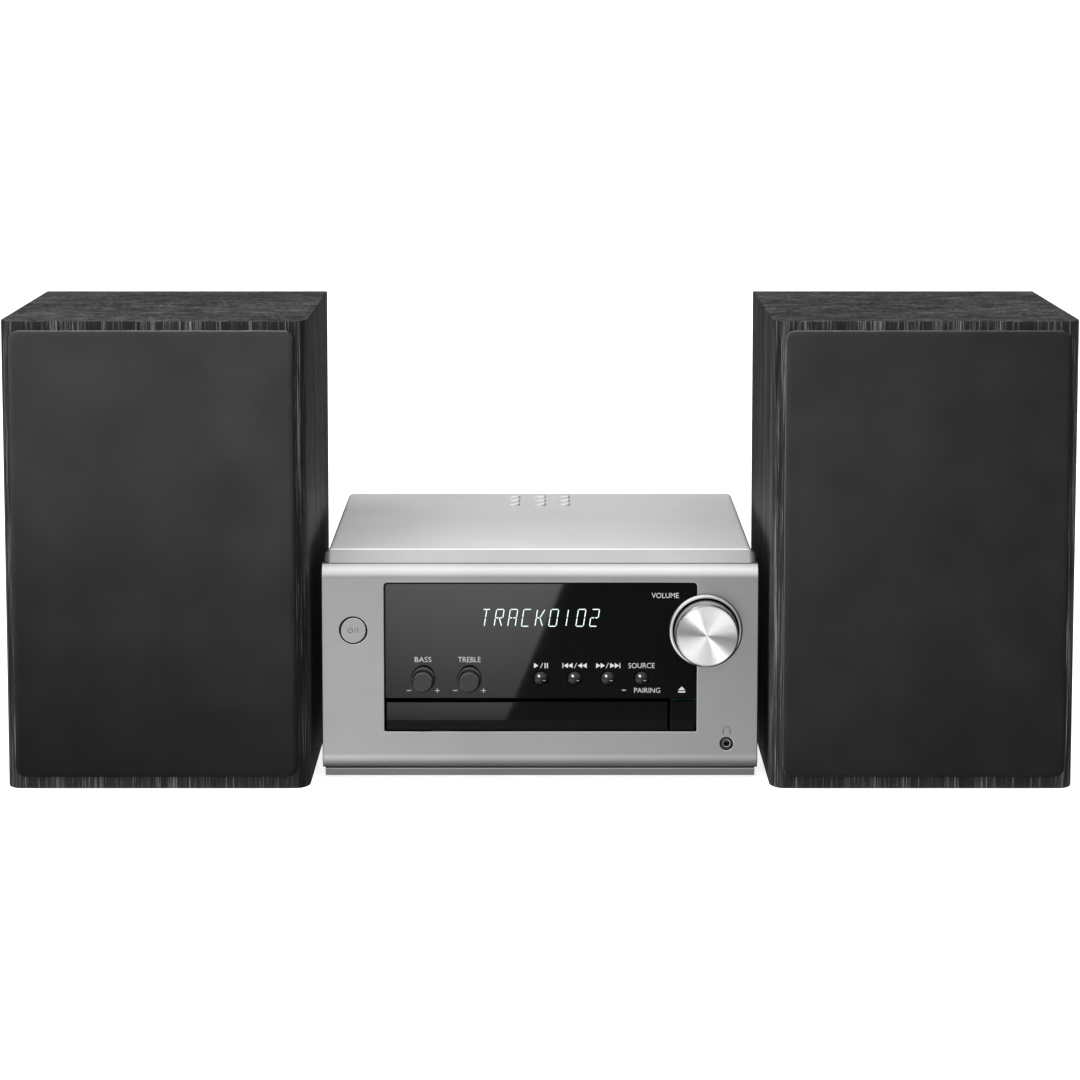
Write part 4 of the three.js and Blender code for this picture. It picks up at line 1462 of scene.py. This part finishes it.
# ---------------------------------------------------------------- the ports and the terminal cups
# At each cabinet's back a moulded port tube flares out, and a square cup holds a red and a black spring
# clip for bare wire. The crossover's board is screwed to the cup inside.
FLARE = 4.5
CUP_RECESS = 22.5
CLIP_OFFSET = 10


def clip_lever(x, z, back, out, height, depth):
    """A spring clip's lever: a wedge with a rounded tip, thickest at the bottom, carried along X."""
    side = rounded(
        [
            [back, z],
            [back + out, z],
            [back + out, z + height * 0.3],
            [back + 0.5 * out, z + height],
            [back, z + height],
        ],
        [0.1, 0.5, 0.8, 0.8, 0.1],
        4,
    )
    return prism(side, x - depth / 2, x + depth / 2, axis=0)


clip_red = satin_plastic("clip_red", 0.35, 0.32, depth=0.004, tone=(1.0, 0.045, 0.03))
clip_black = satin_plastic("clip_black", 0.02, 0.32, depth=0.004)
for side in SIDES:
    body = f"{side}_speaker"
    cabinet_back = span(f"{side}_cabinet")[1][1]
    low, high = span(f"{side}_port_tube")
    here = middle(low, high)
    inner = 18.5
    flare = arc((inner + FLARE, high[1] - FLARE), FLARE, 180, 90, 12)
    tube = [[inner, low[1]], *flare, *arc((25.4, high[1] - 0.6), 0.6, 90, 0, 5)]
    tube += [[26, cabinet_back + 0.3], [21, cabinet_back + 0.3], [21, low[1]]]
    piece(
        f"{side}_port_flared",
        body,
        [turned(tube, (here[0], 0, here[2]), steps=128)],
        driver_plastic,
        [f"{side}_port_tube"],
        sharp=50,
    )
    low, high = span(f"{side}_terminal_cup")
    x, z = middle(low, high)[[0, 2]]
    plate = rounded(rectangle((low[0], low[2]), (high[0], high[2])), 4, 6)
    piece(
        f"{side}_terminal_plate",
        body,
        [prism(plate, cabinet_back + 0.3, high[1])],
        driver_plastic,
        [f"{side}_terminal_cup"],
        add=[block((x - 24.5, low[1], z - 24.5), (x + 24.5, cabinet_back + 1, z + 24.5))],
        cut=[
            prism(
                rounded(
                    rectangle((x - CUP_RECESS, z - CUP_RECESS), (x + CUP_RECESS, z + CUP_RECESS)), 4, 6
                ),
                low[1] + 2,
                high[1] + 1,
            )
        ],
        bevel=0.5,
    )
    for offset, finish, name in ((-CLIP_OFFSET, clip_black, "black"), (CLIP_OFFSET, clip_red, "red")):
        base = low[1] + 1.9
        piece(
            f"{side}_clip_{name}",
            body,
            [clip_lever(x + offset, z - 2, base, 11, 14, 10)],
            finish,
            add=[
                prism(
                    rounded(rectangle((x + offset - 5, z - 12), (x + offset + 5, z - 1.5)), 1),
                    base,
                    base + 8,
                )
            ],
            cut=[bore((x + offset, 0, z - 7), 1.7, base + 3, base + 9, 40)],
            bevel=0.3,
            rings=2,
        )
    for k, (dx, dz) in enumerate(((-26, -26), (26, -26), (-26, 26), (26, 26))):
        place = (x + dx, high[1] - 0.9, z + dz)
        screw(f"{side}_cup_screw_{k + 1}", body, place, 1, 1, black_screw, 1.9)

# ---------------------------------------------------------------- the rear panel
# A steel plate between the cover and the chassis, painted dark grey and punched for its sockets and for
# a row of cooling slots. A screw sits near each corner, and plain marks are printed beside the sockets.
rear_low, rear_high = span("rear_panel")
REAR = rear_high[1]
SLOT = np.array([1.2, 13])
rear_paint = painted("rear_paint", 0.035, 0.5, 0.01, 0.45)
inlet, aerial, audio, outputs = [
    span(name) for name in ("mains_inlet", "antenna_socket", "aux_sockets", "speaker_terminals")
]
punch = rear_low[1] - 1, REAR + 1
slot_places = [np.array([x, 40]) for x in np.arange(-44, 23, 6.0)]


def cut_out(box, half_x, half_z):
    at = middle(*box)[[0, 2]]
    return prism(rectangle(at - [half_x, half_z], at + [half_x, half_z]), *punch)


piece(
    "rear_panel_plate",
    "receiver",
    [block(rear_low, rear_high)],
    rear_paint,
    ["rear_panel"],
    cut=[
        cut_out(inlet, 13, 9),
        bore(middle(*aerial), 6, *punch, 64),
        cut_out(audio, 15, 8),
        cut_out(outputs, 25, 16),
        *(prism(rounded(rectangle(at - SLOT, at + SLOT), 1.1), *punch) for at in slot_places),
    ],
    bevel=0.15,
    rings=2,
)
for k, (x, z) in enumerate(((-94, 12), (94, 12), (-94, 102), (94, 102), (0, 102))):
    screw(f"rear_screw_{k + 1}", "receiver", (x, REAR, z), 1, 1, zinc, 2.8)


def rear_lettering(words, centre_x, bottom, size):
    """Lettering on the rear: the same letters with x turned round their middle, to read from behind."""
    half = size * 0.33 * len(words)
    points, faces = lettering(words, -half, half, bottom, bottom + size, 0)
    points = points * [-1, -1, 1] + [centre_x, REAR, 0]
    return points, faces


terminal_x, terminal_z = middle(*outputs)[[0, 2]]
audio_x, audio_z = middle(*audio)[[0, 2]]
aerial_x, aerial_z = middle(*aerial)[[0, 2]]
rear_marks = [
    rear_lettering("AUX IN", audio_x, audio_z + 11, 2.4),
    rear_lettering("FM", aerial_x, aerial_z + 11, 2.4),
    rear_lettering("SPEAKERS", terminal_x, terminal_z + 24, 2.6),
    rear_lettering("R", terminal_x - 12, terminal_z + 19.4, 2.6),
    rear_lettering("L", terminal_x + 12, terminal_z + 19.4, 2.6),
    rear_lettering("AC IN", middle(*inlet)[0], middle(*inlet)[2] + 12.5, 2.4),
]
piece("rear_markings", "receiver", rear_marks, pale_ink, sharp=30)

# ---------------------------------------------------------------- the sockets at the back
# Mains inlet with two pins, coaxial aerial socket, a pair of audio sockets with white and red rings, and
# four spring clips for the speakers' wires. All are moulded blocks that sit on the rear panel.
nickel = satin_metal("nickel_shell", 0.62, 0.2, grain=0.4, depth=0.002)
ring_white = satin_plastic("ring_white", 0.7, 0.3, depth=0.002)
ring_red = satin_plastic("ring_red", 0.4, 0.3, depth=0.002, tone=(1.0, 0.05, 0.035))


def flange(centre, half_x, half_z, corner, low, high):
    at = np.array([centre[0], centre[2]])
    return prism(rounded(rectangle(at - [half_x, half_z], at + [half_x, half_z]), corner, 6), low, high)


centre, back = middle(*inlet), inlet[1][1]
piece(
    "mains_inlet_block",
    "receiver",
    [flange(centre, 15, 10.5, 3, REAR + 0.3, back)],
    socket_plastic,
    ["mains_inlet"],
    add=[flange(centre, 12.5, 8.5, 2, inlet[0][1], REAR + 0.6)],
    cut=[
        bore(centre + [-3.8, 0, 0], 4.3, back - 14.4, back + 1, 64),
        bore(centre + [3.8, 0, 0], 4.3, back - 14.4, back + 1, 64),
    ],
    bevel=0.4,
)
pin = lathe_profile([[0, -0.2], [1.2, -0.2], [1.2, 10], [0, 10]], [0, 0.1, 1.0, 0], 5)
for name, dx in (("left", -4.3), ("right", 4.3)):
    where = (centre[0] + dx, back - 14.5, centre[2])
    piece(
        f"inlet_pin_{name}",
        "receiver",
        [turned(pin, where, steps=40)],
        nickel,
    )

centre, back = middle(*aerial), aerial[1][1]
piece(
    "aerial_socket_base",
    "receiver",
    [flange(centre, 9, 9, 2.5, REAR + 0.3, REAR + 1.8)],
    socket_plastic,
    ["antenna_socket"],
    add=[bore(centre, 5.6, aerial[0][1], REAR + 0.6, 64)],
    bevel=0.3,
)
barrel = [
    [0, 1.6],
    [4.8, 1.6],
    [4.8, 2.6],
    [4.3, 3.2],
    [4.3, 4.4],
    [4.8, 5.0],
    [4.8, 8.7],
    [4.5, 9.1],
    [3.9, 9.1],
    [3.9, 2.2],
    [0, 2.2],
]
collar = turned(barrel, (centre[0], REAR, centre[2]), steps=72)
piece("aerial_socket_barrel", "receiver", [collar], nickel, bevel=0.06, rings=2)
core = [[0, 2.1], [2.0, 2.1], [2.0, 7.6], [1.7, 7.9], [0.7, 7.9], [0.7, 3.5], [0, 3.5]]
piece(
    "aerial_socket_core",
    "receiver",
    [turned(core, (centre[0], REAR, centre[2]), steps=48)],
    ring_white,
)

centre, back = middle(*audio), audio[1][1]
piece(
    "audio_socket_base",
    "receiver",
    [flange(centre, 18, 9, 2.5, REAR + 0.3, REAR + 1.8)],
    socket_plastic,
    ["aux_sockets"],
    add=[flange(centre, 14, 7, 1, audio[0][1], REAR + 0.6)],
    bevel=0.3,
)
for name, dx, ring_finish in (("white", 8, ring_white), ("red", -8, ring_red)):
    where = (centre[0] + dx, REAR, centre[2])
    shell = [
        [0, 1.7],
        [6.2, 1.7],
        [6.2, 2.1],
        [4.2, 2.5],
        [4.2, 7.7],
        [3.9, 8.1],
        [3.5, 8.1],
        [3.5, 2.6],
        [0, 2.6],
    ]
    insert = [
        [0, 2.5], [3.45, 2.5], [3.45, 7.5], [3.2, 7.8], [2.0, 7.8], [1.8, 7.5], [1.8, 3.4], [0, 3.4]
    ]
    piece(
        f"audio_shell_{name}",
        "receiver",
        [turned(shell, where, steps=72)],
        nickel,
        bevel=0.06,
        rings=2,
    )
    piece(
        f"audio_ring_{name}",
        "receiver",
        [turned(insert, where, steps=64)],
        ring_finish,
        sharp=40,
    )

centre = middle(*outputs)
holes = [(centre[0] + dx, 0, centre[2] - 8) for dx in (-18, -6, 6, 18)]
piece(
    "output_clip_base",
    "receiver",
    [flange(centre, 27, 18, 2.5, REAR + 0.3, REAR + 2)],
    socket_plastic,
    ["speaker_terminals"],
    add=[flange(centre, 24, 15, 1, outputs[0][1], REAR + 0.6)]
    + [flange((at[0], 0, at[2] - 0.5), 4.2, 4.2, 1, REAR + 1, REAR + 4) for at in holes],
    cut=[bore(at, 1.7, REAR - 3, REAR + 5, 40) for at in holes],
    bevel=0.3,
)
for k, at in enumerate(holes):
    finish, tone = ((clip_red, "red"), (clip_black, "black"))[k % 2]
    name = f"output_clip_{tone}_{k // 2 + 1}"
    lever = clip_lever(at[0], centre[2] + 1, REAR + 1.9, outputs[1][1] - REAR - 1.9, 10, 8)
    piece(name, "receiver", [lever], finish, bevel=0.25, rings=2)

# ---------------------------------------------------------------- the feet and the chassis
# Four dished rubber feet are stuck under a pressed tray of zinc-plated steel. The zinc shows as a
# spangle of dull and bright crystals.
rubber = satin_plastic("foot_rubber", 0.016, 0.7, depth=0.012, size=0.3)
for name in sorted(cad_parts):
    if name.startswith("foot"):
        low, high = span(name)
        at, radius, tall = middle(low, high), (high[0] - low[0]) / 2, high[2] - low[2]
        profile = lathe_profile(
            [[0, 0.5], [radius * 0.45, 0.5], [radius * 0.55, 0], [radius, 0], [radius, tall], [0, tall]],
            [0, 0.4, 0.4, 0.8, 0.3, 0],
            5,
        )
        pad = turned(profile, (at[0], at[1], low[2]), axis=2, steps=72)
        piece(f"{name}_pad", "receiver", [pad], rubber, [name], sharp=50)


def spangled(name, level, size):
    """Galvanised steel: Voronoi crystals, each with its own brightness and sheen."""
    made = Finish(name, grey(level), 0.4, 1.0)
    crystal = made.node(
        "ShaderNodeTexVoronoi", {"distance": "EUCLIDEAN"}, {"Vector": made.place(), "Scale": 1 / size}, 1
    )
    shade = made.axis(crystal, 0)
    fine = made.noise(made.place(), 0.6, 3)
    made.feed(
        Base_Color=made.ramp(
            shade * 0.7 + fine * 0.3, (0.1, grey(level * 0.8)), (0.9, grey(level * 1.15))
        ),
        Roughness=0.3 + shade * 0.16,
        Normal=made.bump(fine, 0.008),
    )
    return made


galvanised = spangled("galvanised_steel", 0.5, 9)


def dress(finish, *nodes):
    """CAD nodes whose shape is already right only take a finish."""
    for node in nodes:
        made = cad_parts[node]
        made.data.materials.clear()
        made.data.materials.append(finish.material)


dress(galvanised, "base_chassis")

# ---------------------------------------------------------------- the disc drawer
# A black moulded drawer with a recess for a large disc, a deeper one for a small disc, a slot for the
# spindle and the pickup, and a rack under its left edge that the pinion drives.
MODULE = 1.5  # tooth size of the rack and its pinion
tray_low, tray_high = span("disc_tray")
turntable_low, turntable_high = span("turntable")
gear_low, gear_high = span("tray_gear")
disc = middle(turntable_low, turntable_high)
TRAY_BASE = 28.0
LARGE_DISC, SMALL_DISC, SPINDLE_SLOT = 60.8, 41, 20  # radii of the recesses
tray_left, tray_right = disc[0] - 65, disc[0] + 65
RACK_LINE = middle(gear_low, gear_high)[0] - 10.5
PINION_Y = middle(gear_low, gear_high)[1]


def rack_outline(back):
    """Teeth along Y, one every pi modules, each with four corners: root, tip, tip and root."""
    root, tip = RACK_LINE - 1.2 * MODULE, RACK_LINE + 0.9 * MODULE
    centre = PINION_Y + np.arange(26, -3, -1) * np.pi * MODULE
    teeth = np.stack(
        [np.tile([root, tip, tip, root], (29, 1)), centre[:, None] + [1.5, 0.45, -0.45, -1.5]], -1
    )
    front = FACE + 8
    return np.concatenate(
        [[[root - 3, front], [root - 3, back], [root, back]], teeth.reshape(-1, 2), [[root, front]]]
    )


def well(radius, low, high, at=disc):
    return prism(circle(at[:2], radius, 144), low, high, axis=2)


tray_top = tray_high[2]
tray_plan = rounded(rectangle((tray_left, tray_low[1]), (tray_right, tray_high[1])), [0.5, 0.5, 4, 4])
drawer_plastic = satin_plastic("drawer_plastic", 0.014, 0.38, depth=0.008)
piece(
    "disc_drawer",
    "disc_tray",
    [prism(tray_plan, TRAY_BASE, tray_top, axis=2)],
    drawer_plastic,
    ["disc_tray"],
    add=[prism(rack_outline(tray_high[1]), tray_low[2], TRAY_BASE + 0.1, axis=2)],
    cut=[
        well(LARGE_DISC, tray_top - 3.5, tray_top + 1),
        well(SMALL_DISC, tray_top - 4.8, tray_top + 1),
        well(SPINDLE_SLOT, TRAY_BASE - 1, tray_top + 1),
        prism(
            rectangle(
                (disc[0] - SPINDLE_SLOT, disc[1]), (disc[0] + SPINDLE_SLOT, tray_high[1] + 1)
            ),
            TRAY_BASE - 1,
            tray_top + 1,
            axis=2,
        ),
        *(well(9, tray_top - 6, tray_top + 1, disc + [dx, -14, 0]) for dx in (-60, 60)),
    ],
    bevel=0.4,
)

# ---------------------------------------------------------------- the disc mechanism
# The loader's moulded frame holds a spindle motor under a turntable with a rubber ring, a pickup on two
# steel rods with a coated lens, and a bridge above that carries the clamp. A white acetal pinion drives
# the drawer.
acetal = satin_plastic("white_acetal", 0.62, 0.35, depth=0.003)
grey_acetal = satin_plastic("grey_acetal", 0.12, 0.4, depth=0.004)
loader_plastic = satin_plastic("loader_plastic", 0.02, 0.5, depth=0.01)
steel = satin_metal("pressed_steel", 0.5, 0.35, grain=0.4, depth=0.004)
low, high = turntable_low, turntable_high
table_top = high[2] - 3.2
table = lathe_profile(
    [
        [0, low[2]],
        [14.5, low[2]],
        [14.5, table_top],
        [7.3, table_top],
        [7.1, table_top + 1],
        [6.6, high[2]],
        [0, high[2]],
    ],
    [0, 0.5, 0.5, 0.2, 0.2, 1.2, 0],
    5,
)
piece(
    "turntable_platter",
    "turntable",
    [turned(table, (disc[0], disc[1], 0), axis=2, steps=128)],
    grey_acetal,
    ["turntable"],
    cut=[
        prism(
            circle(disc[:2] + 4.2 * np.array([np.cos(a), np.sin(a)]), 0.9, 24),
            high[2] - 1.5,
            high[2] + 1,
            axis=2,
        )
        for a in np.radians([90, 210, 330])
    ],
    bevel=0.15,
    rings=2,
    sharp=50,
)
pad = rounded(
    [[10, table_top - 0.1], [14, table_top - 0.1], [14, table_top + 0.25], [10, table_top + 0.25]],
    0.15,
    4,
)
piece(
    "turntable_ring",
    "turntable",
    [turned(pad, (disc[0], disc[1], 0), axis=2, steps=96)],
    rubber,
)

low, high = span("disc_clamp")
clamp = lathe_profile(
    [
        [0, low[2]],
        [15, low[2]],
        [15, low[2] + 2],
        [10, low[2] + 2],
        [10, high[2] - 1.2],
        [14, high[2] - 1.2],
        [14, high[2]],
        [0, high[2]],
    ],
    [0, 0.5, 0.5, 0.5, 0.5, 0.3, 0.4, 0],
    5,
)
piece(
    "disc_clamp_puck",
    "disc_clamp",
    [turned(clamp, (disc[0], disc[1], 0), axis=2, steps=96)],
    acetal,
    ["disc_clamp"],
    sharp=50,
)
low, high = span("clamp_bridge")
piece(
    "clamp_bridge_pressing",
    "receiver",
    [prism(rounded(rectangle(low[:2], high[:2]), 3), low[2], high[2], axis=2)],
    steel,
    ["clamp_bridge"],
    cut=[well(11, low[2] - 1, high[2] + 1)]
    + [well(2, low[2] - 1, high[2] + 1, disc + [dx, 0, 0]) for dx in (-64, -40, 40, 64)],
    bevel=0.3,
)
low, high = span("pickup_sled")
sled_top = 28.0
lens_at = disc[:2] + [0, 26]
sled_plan = rounded(rectangle(low[:2], high[:2]), 2.5)
piece(
    "pickup_carriage",
    "pickup_sled",
    [prism(sled_plan, low[2], sled_top, axis=2)],
    loader_plastic,
    ["pickup_sled"],
    add=[prism(circle(lens_at, 4.5, 64), sled_top - 0.2, high[2] - 0.6, axis=2)],
    bevel=0.35,
)
lens_glass = Finish("lens_glass", (0.05, 0.07, 0.16), 0.04, Coat_Weight=1.0, Specular_IOR_Level=0.9)
shimmer = lens_glass.noise(lens_glass.place(), 2.5, 1)
lens_glass.feed(
    Base_Color=lens_glass.ramp(shimmer, (0.3, (0.03, 0.05, 0.14)), (0.7, (0.09, 0.05, 0.16))),
    Roughness=0.03 + shimmer * 0.05,
)
r = np.linspace(0, 2.9, 12)
bulge = np.stack([r, high[2] - 0.05 - 0.5 * (r / 2.9) ** 2], -1)
lens = np.concatenate([bulge, [[2.9, high[2] - 0.7], [0, high[2] - 0.7]]])
piece(
    "pickup_lens",
    "pickup_sled",
    [turned(lens, (*lens_at, 0), axis=2, steps=64)],
    lens_glass,
    sharp=50,
)
dress(loader_plastic, "loader_frame", "loader_motor")
dress(acetal, "tray_gear")

# ---------------------------------------------------------------- the electronics
# Fibreglass boards in green solder mask with tinned tracks, carrying black and grey parts, beside a
# black anodised heatsink with fins. The display's dark tube sits in a steel holder behind the window.


def board_finish(name, axis, low, high):
    """Between low and high along one axis it is the board: crossing tracks from a Voronoi pattern with
    straight cells, and green lacquer. Elsewhere it is the moulded parts that stand on it."""
    made = Finish(name, (0.02, 0.1, 0.05), 0.35)
    point = made.place()
    along = made.axis(point, axis)
    above = made.ease(along, high + 0.05, high + 0.15)
    below = made.ease(along, low - 0.05, low - 0.15)
    parts = above.math("MAXIMUM", above, below)
    cells = made.node(
        "ShaderNodeTexVoronoi",
        {"distance": "CHEBYCHEV", "feature": "F1"},
        {"Vector": point, "Scale": 0.22},
        0,
    )
    tracks = made.ease(cells, 0.52, 0.56) * made.ease(cells, 0.66, 0.62)
    pads = made.ease(cells, 0.1, 0.07)
    fine = made.noise(point, 0.5, 2)
    lacquer = made.blend(tracks, (0.012, 0.075, 0.035), (0.03, 0.16, 0.075))
    board = made.blend(pads, lacquer, (0.55, 0.55, 0.52))
    moulded = made.ramp(fine, (0.3, (0.012, 0.012, 0.013)), (0.7, (0.035, 0.035, 0.038)))
    made.feed(
        Base_Color=made.blend(parts, board, moulded),
        Roughness=0.3 + fine * 0.15,
        Metallic=pads * 0.8 * (1 - parts),
        Normal=made.bump(tracks * 0.6 + pads * 0.3 + fine * 0.1, 0.04),
    )
    return made


BOARD = 1.6
board_base = span("main_board")[0][2]
flat_board = board_finish("flat_board", 2, board_base, board_base + BOARD)
control_back = span("control_board")[1][1]
upright_board = board_finish("upright_board", 1, control_back - BOARD, control_back)
crossover_back = span("left_crossover")[1][1]
cup_board = board_finish("cup_board", 1, crossover_back - BOARD, crossover_back)
dress(flat_board, "main_board", "power_supply")
dress(upright_board, "control_board")
dress(cup_board, "left_crossover", "right_crossover")
dress(satin_metal("black_anodised", 0.06, 0.35, metallic=0.8, grain=0.5, depth=0.006), "heatsink")
dress(satin_plastic("display_tube", 0.01, 0.2, depth=0.002), "display_module")
dress(steel, "volume_encoder")

# ---------------------------------------------------------------- the studio
# A white paper sweep runs along the floor and up behind, under a pale surround and three soft lamps.
# Smaller lamps light single pieces: the cloths, the keys, the knob's face, and the polished plates as a
# leaning patch.
SWEEP_BACK = 3.5
SWEEP_ROUND = 1.2
FRONT_LEFT, FRONT_RIGHT = 0.85, 0.0  # the surround's brightness ahead of the system, on either side
LOW_GLOW = 3.8  # how much brighter it is just below the level of the eye
HIGH, OVERHEAD = 2.6, 0.62
BEHIND, BELOW = 0.14, 0.15
CARD_SIZE = 0.24
SYSTEM = (0, -0.1, 0.06)  # what the large lamps face
KEY_ROW = (0, -0.1, 0.05)
KNOB_FACE = (0.08, -0.12, 0.073)


def sweep():
    """Straight along the floor, a quarter circle, and straight up, carried along X; a grid of two rows
    of points."""
    bend = arc((SWEEP_BACK, SWEEP_ROUND), SWEEP_ROUND, -90, 0, 24)
    line = np.concatenate([[[-4, 0]], bend, [[SWEEP_BACK + SWEEP_ROUND, 4.5]]])
    points = np.empty((2, len(line), 3))
    points[..., 1:] = line
    points[..., 0] = [[-5], [5]]
    return surface(points)


points, faces = sweep()
paper = bpy.data.meshes.new("paper_sweep")
paper.from_pydata(points, [], faces)
paper.shade_smooth()
floor = bpy.data.objects.new("paper_sweep", paper)
scene.collection.objects.link(floor)
sheet_white = Finish("sweep_paper", grey(0.9), 0.7, Emission_Color=(1, 1, 1, 1), Emission_Strength=0.8)
fibre = sheet_white.noise(sheet_white.place(), 1.5, 3)
sheet_white.feed(
    Base_Color=sheet_white.ramp(fibre, (0.3, grey(0.88)), (0.7, grey(0.91))),
    Normal=sheet_white.bump(fibre, 0.02),
)
paper.materials.append(sheet_white.material)
floor.visible_glossy = floor.visible_diffuse = False


def surround():
    """The surround's brightness by direction. Ahead it falls off to the right, glows low down and is
    brightest high up; it is dimmer straight overhead, and dim behind the system and below."""
    world = bpy.data.worlds.new("surround")
    world.use_nodes = True
    sky = Shading(world.node_tree, "Background")
    direction = sky.node("ShaderNodeTexCoord", output=0)
    right, ahead, up = [sky.axis(direction, k) for k in range(3)]
    front = FRONT_RIGHT + sky.ease(right, 0.2, -0.2) * (FRONT_LEFT - FRONT_RIGHT)
    front = front * (sky.ease(up, -0.12, -0.25) * (LOW_GLOW - 1) + 1)
    front = front + (HIGH - front) * sky.ease(up, -0.1, 0.4)
    level = BEHIND + sky.ease(ahead, 0.3, -0.4) * (front - BEHIND)
    level = level + (OVERHEAD - level) * sky.ease(up, 0.66, 0.92)
    level = level + (BELOW - level) * sky.ease(up, -0.55, -1.05)
    sky.feed(Color=(1, 1, 1, 1), Strength=level)
    return world


scene.world = surround()


def lamp(name, place, target, size, power, spin=0.0, spread=180, only=()):
    """A soft rectangular lamp that faces a target; spin turns it about its own beam, and spread narrows
    that beam to so many degrees. With only, it lights just those pieces."""
    data = bpy.data.lights.new(name, "AREA")
    data.shape, data.energy = "RECTANGLE", power
    data.size, data.size_y = size
    data.spread = np.radians(spread)
    made = bpy.data.objects.new(name, data)
    scene.collection.objects.link(made)
    made.location = place
    aim = Vector(target) - Vector(place)
    made.rotation_euler = (aim.to_track_quat("-Z", "Y") @ Quaternion((0, 0, 1), spin)).to_euler()
    made.visible_camera = False
    if only:
        group = bpy.data.collections.new(name)
        for each in only:
            group.objects.link(each)
        made.light_linking.receiver_collection = group
    return made


lamp("key_lamp", (-1.3, -1.6, 1.5), SYSTEM, (1.2, 1.2), 9)
lamp("fill_lamp", (1.6, -1.6, 1.0), SYSTEM, (1.0, 1.0), 1.5)
lamp("top_lamp", (-0.15, -0.35, 0.95), (0, -0.1, 0), (1.2, 0.8), 4.6)
cloths = [bpy.data.objects[f"{side}_grille_cloth_knit"] for side in SIDES]
lamp("cloth_lamp", (-0.6, -1.0, 0.56), (-0.16, -0.13, 0.25), (0.7, 0.25), 9.5, spread=28, only=cloths)
keys = [bpy.data.objects[f"{name}_key"] for name in KEYS]
lamp("upper_spark", (-0.45, -0.75, 0.62), KEY_ROW, (0.5, 0.5), 66, only=keys)
lamp("lower_spark", (0.4, -0.4, -0.25), KEY_ROW, (0.4, 0.08), 4, only=keys)
lamp("left_fan_lamp", (-0.2, -0.77, 0.435), KNOB_FACE, (0.3, 0.3), 1.6, only=[volume_knob])
lamp("right_fan_lamp", (0.42, -0.77, 0.38), KNOB_FACE, (0.13, 0.13), 0.1, only=[volume_knob])
# The patch's straight edge runs between two points (x, z); the lamp's own edge lies along it.
edge_top, edge_bottom = np.array([0.0117, 0.081]), np.array([-0.0204, 0.0054])
along = (edge_top - edge_bottom) / np.linalg.norm(edge_top - edge_bottom)
away = np.array([-along[1], along[0]])
card_centre = (edge_top + edge_bottom) / 2 + away * CARD_SIZE / 2
card_at = np.array([card_centre[0], -0.2, card_centre[1]])
lamp(
    "card_lamp",
    card_at,
    card_at + [0.016, 1, 0.099],
    (CARD_SIZE, CARD_SIZE),
    0.024,
    spin=-np.arctan2(along[0], along[1]),
    spread=11.2,
    only=(window, drawer_front, eject_key),
)
scene.view_settings.view_transform = "Standard"
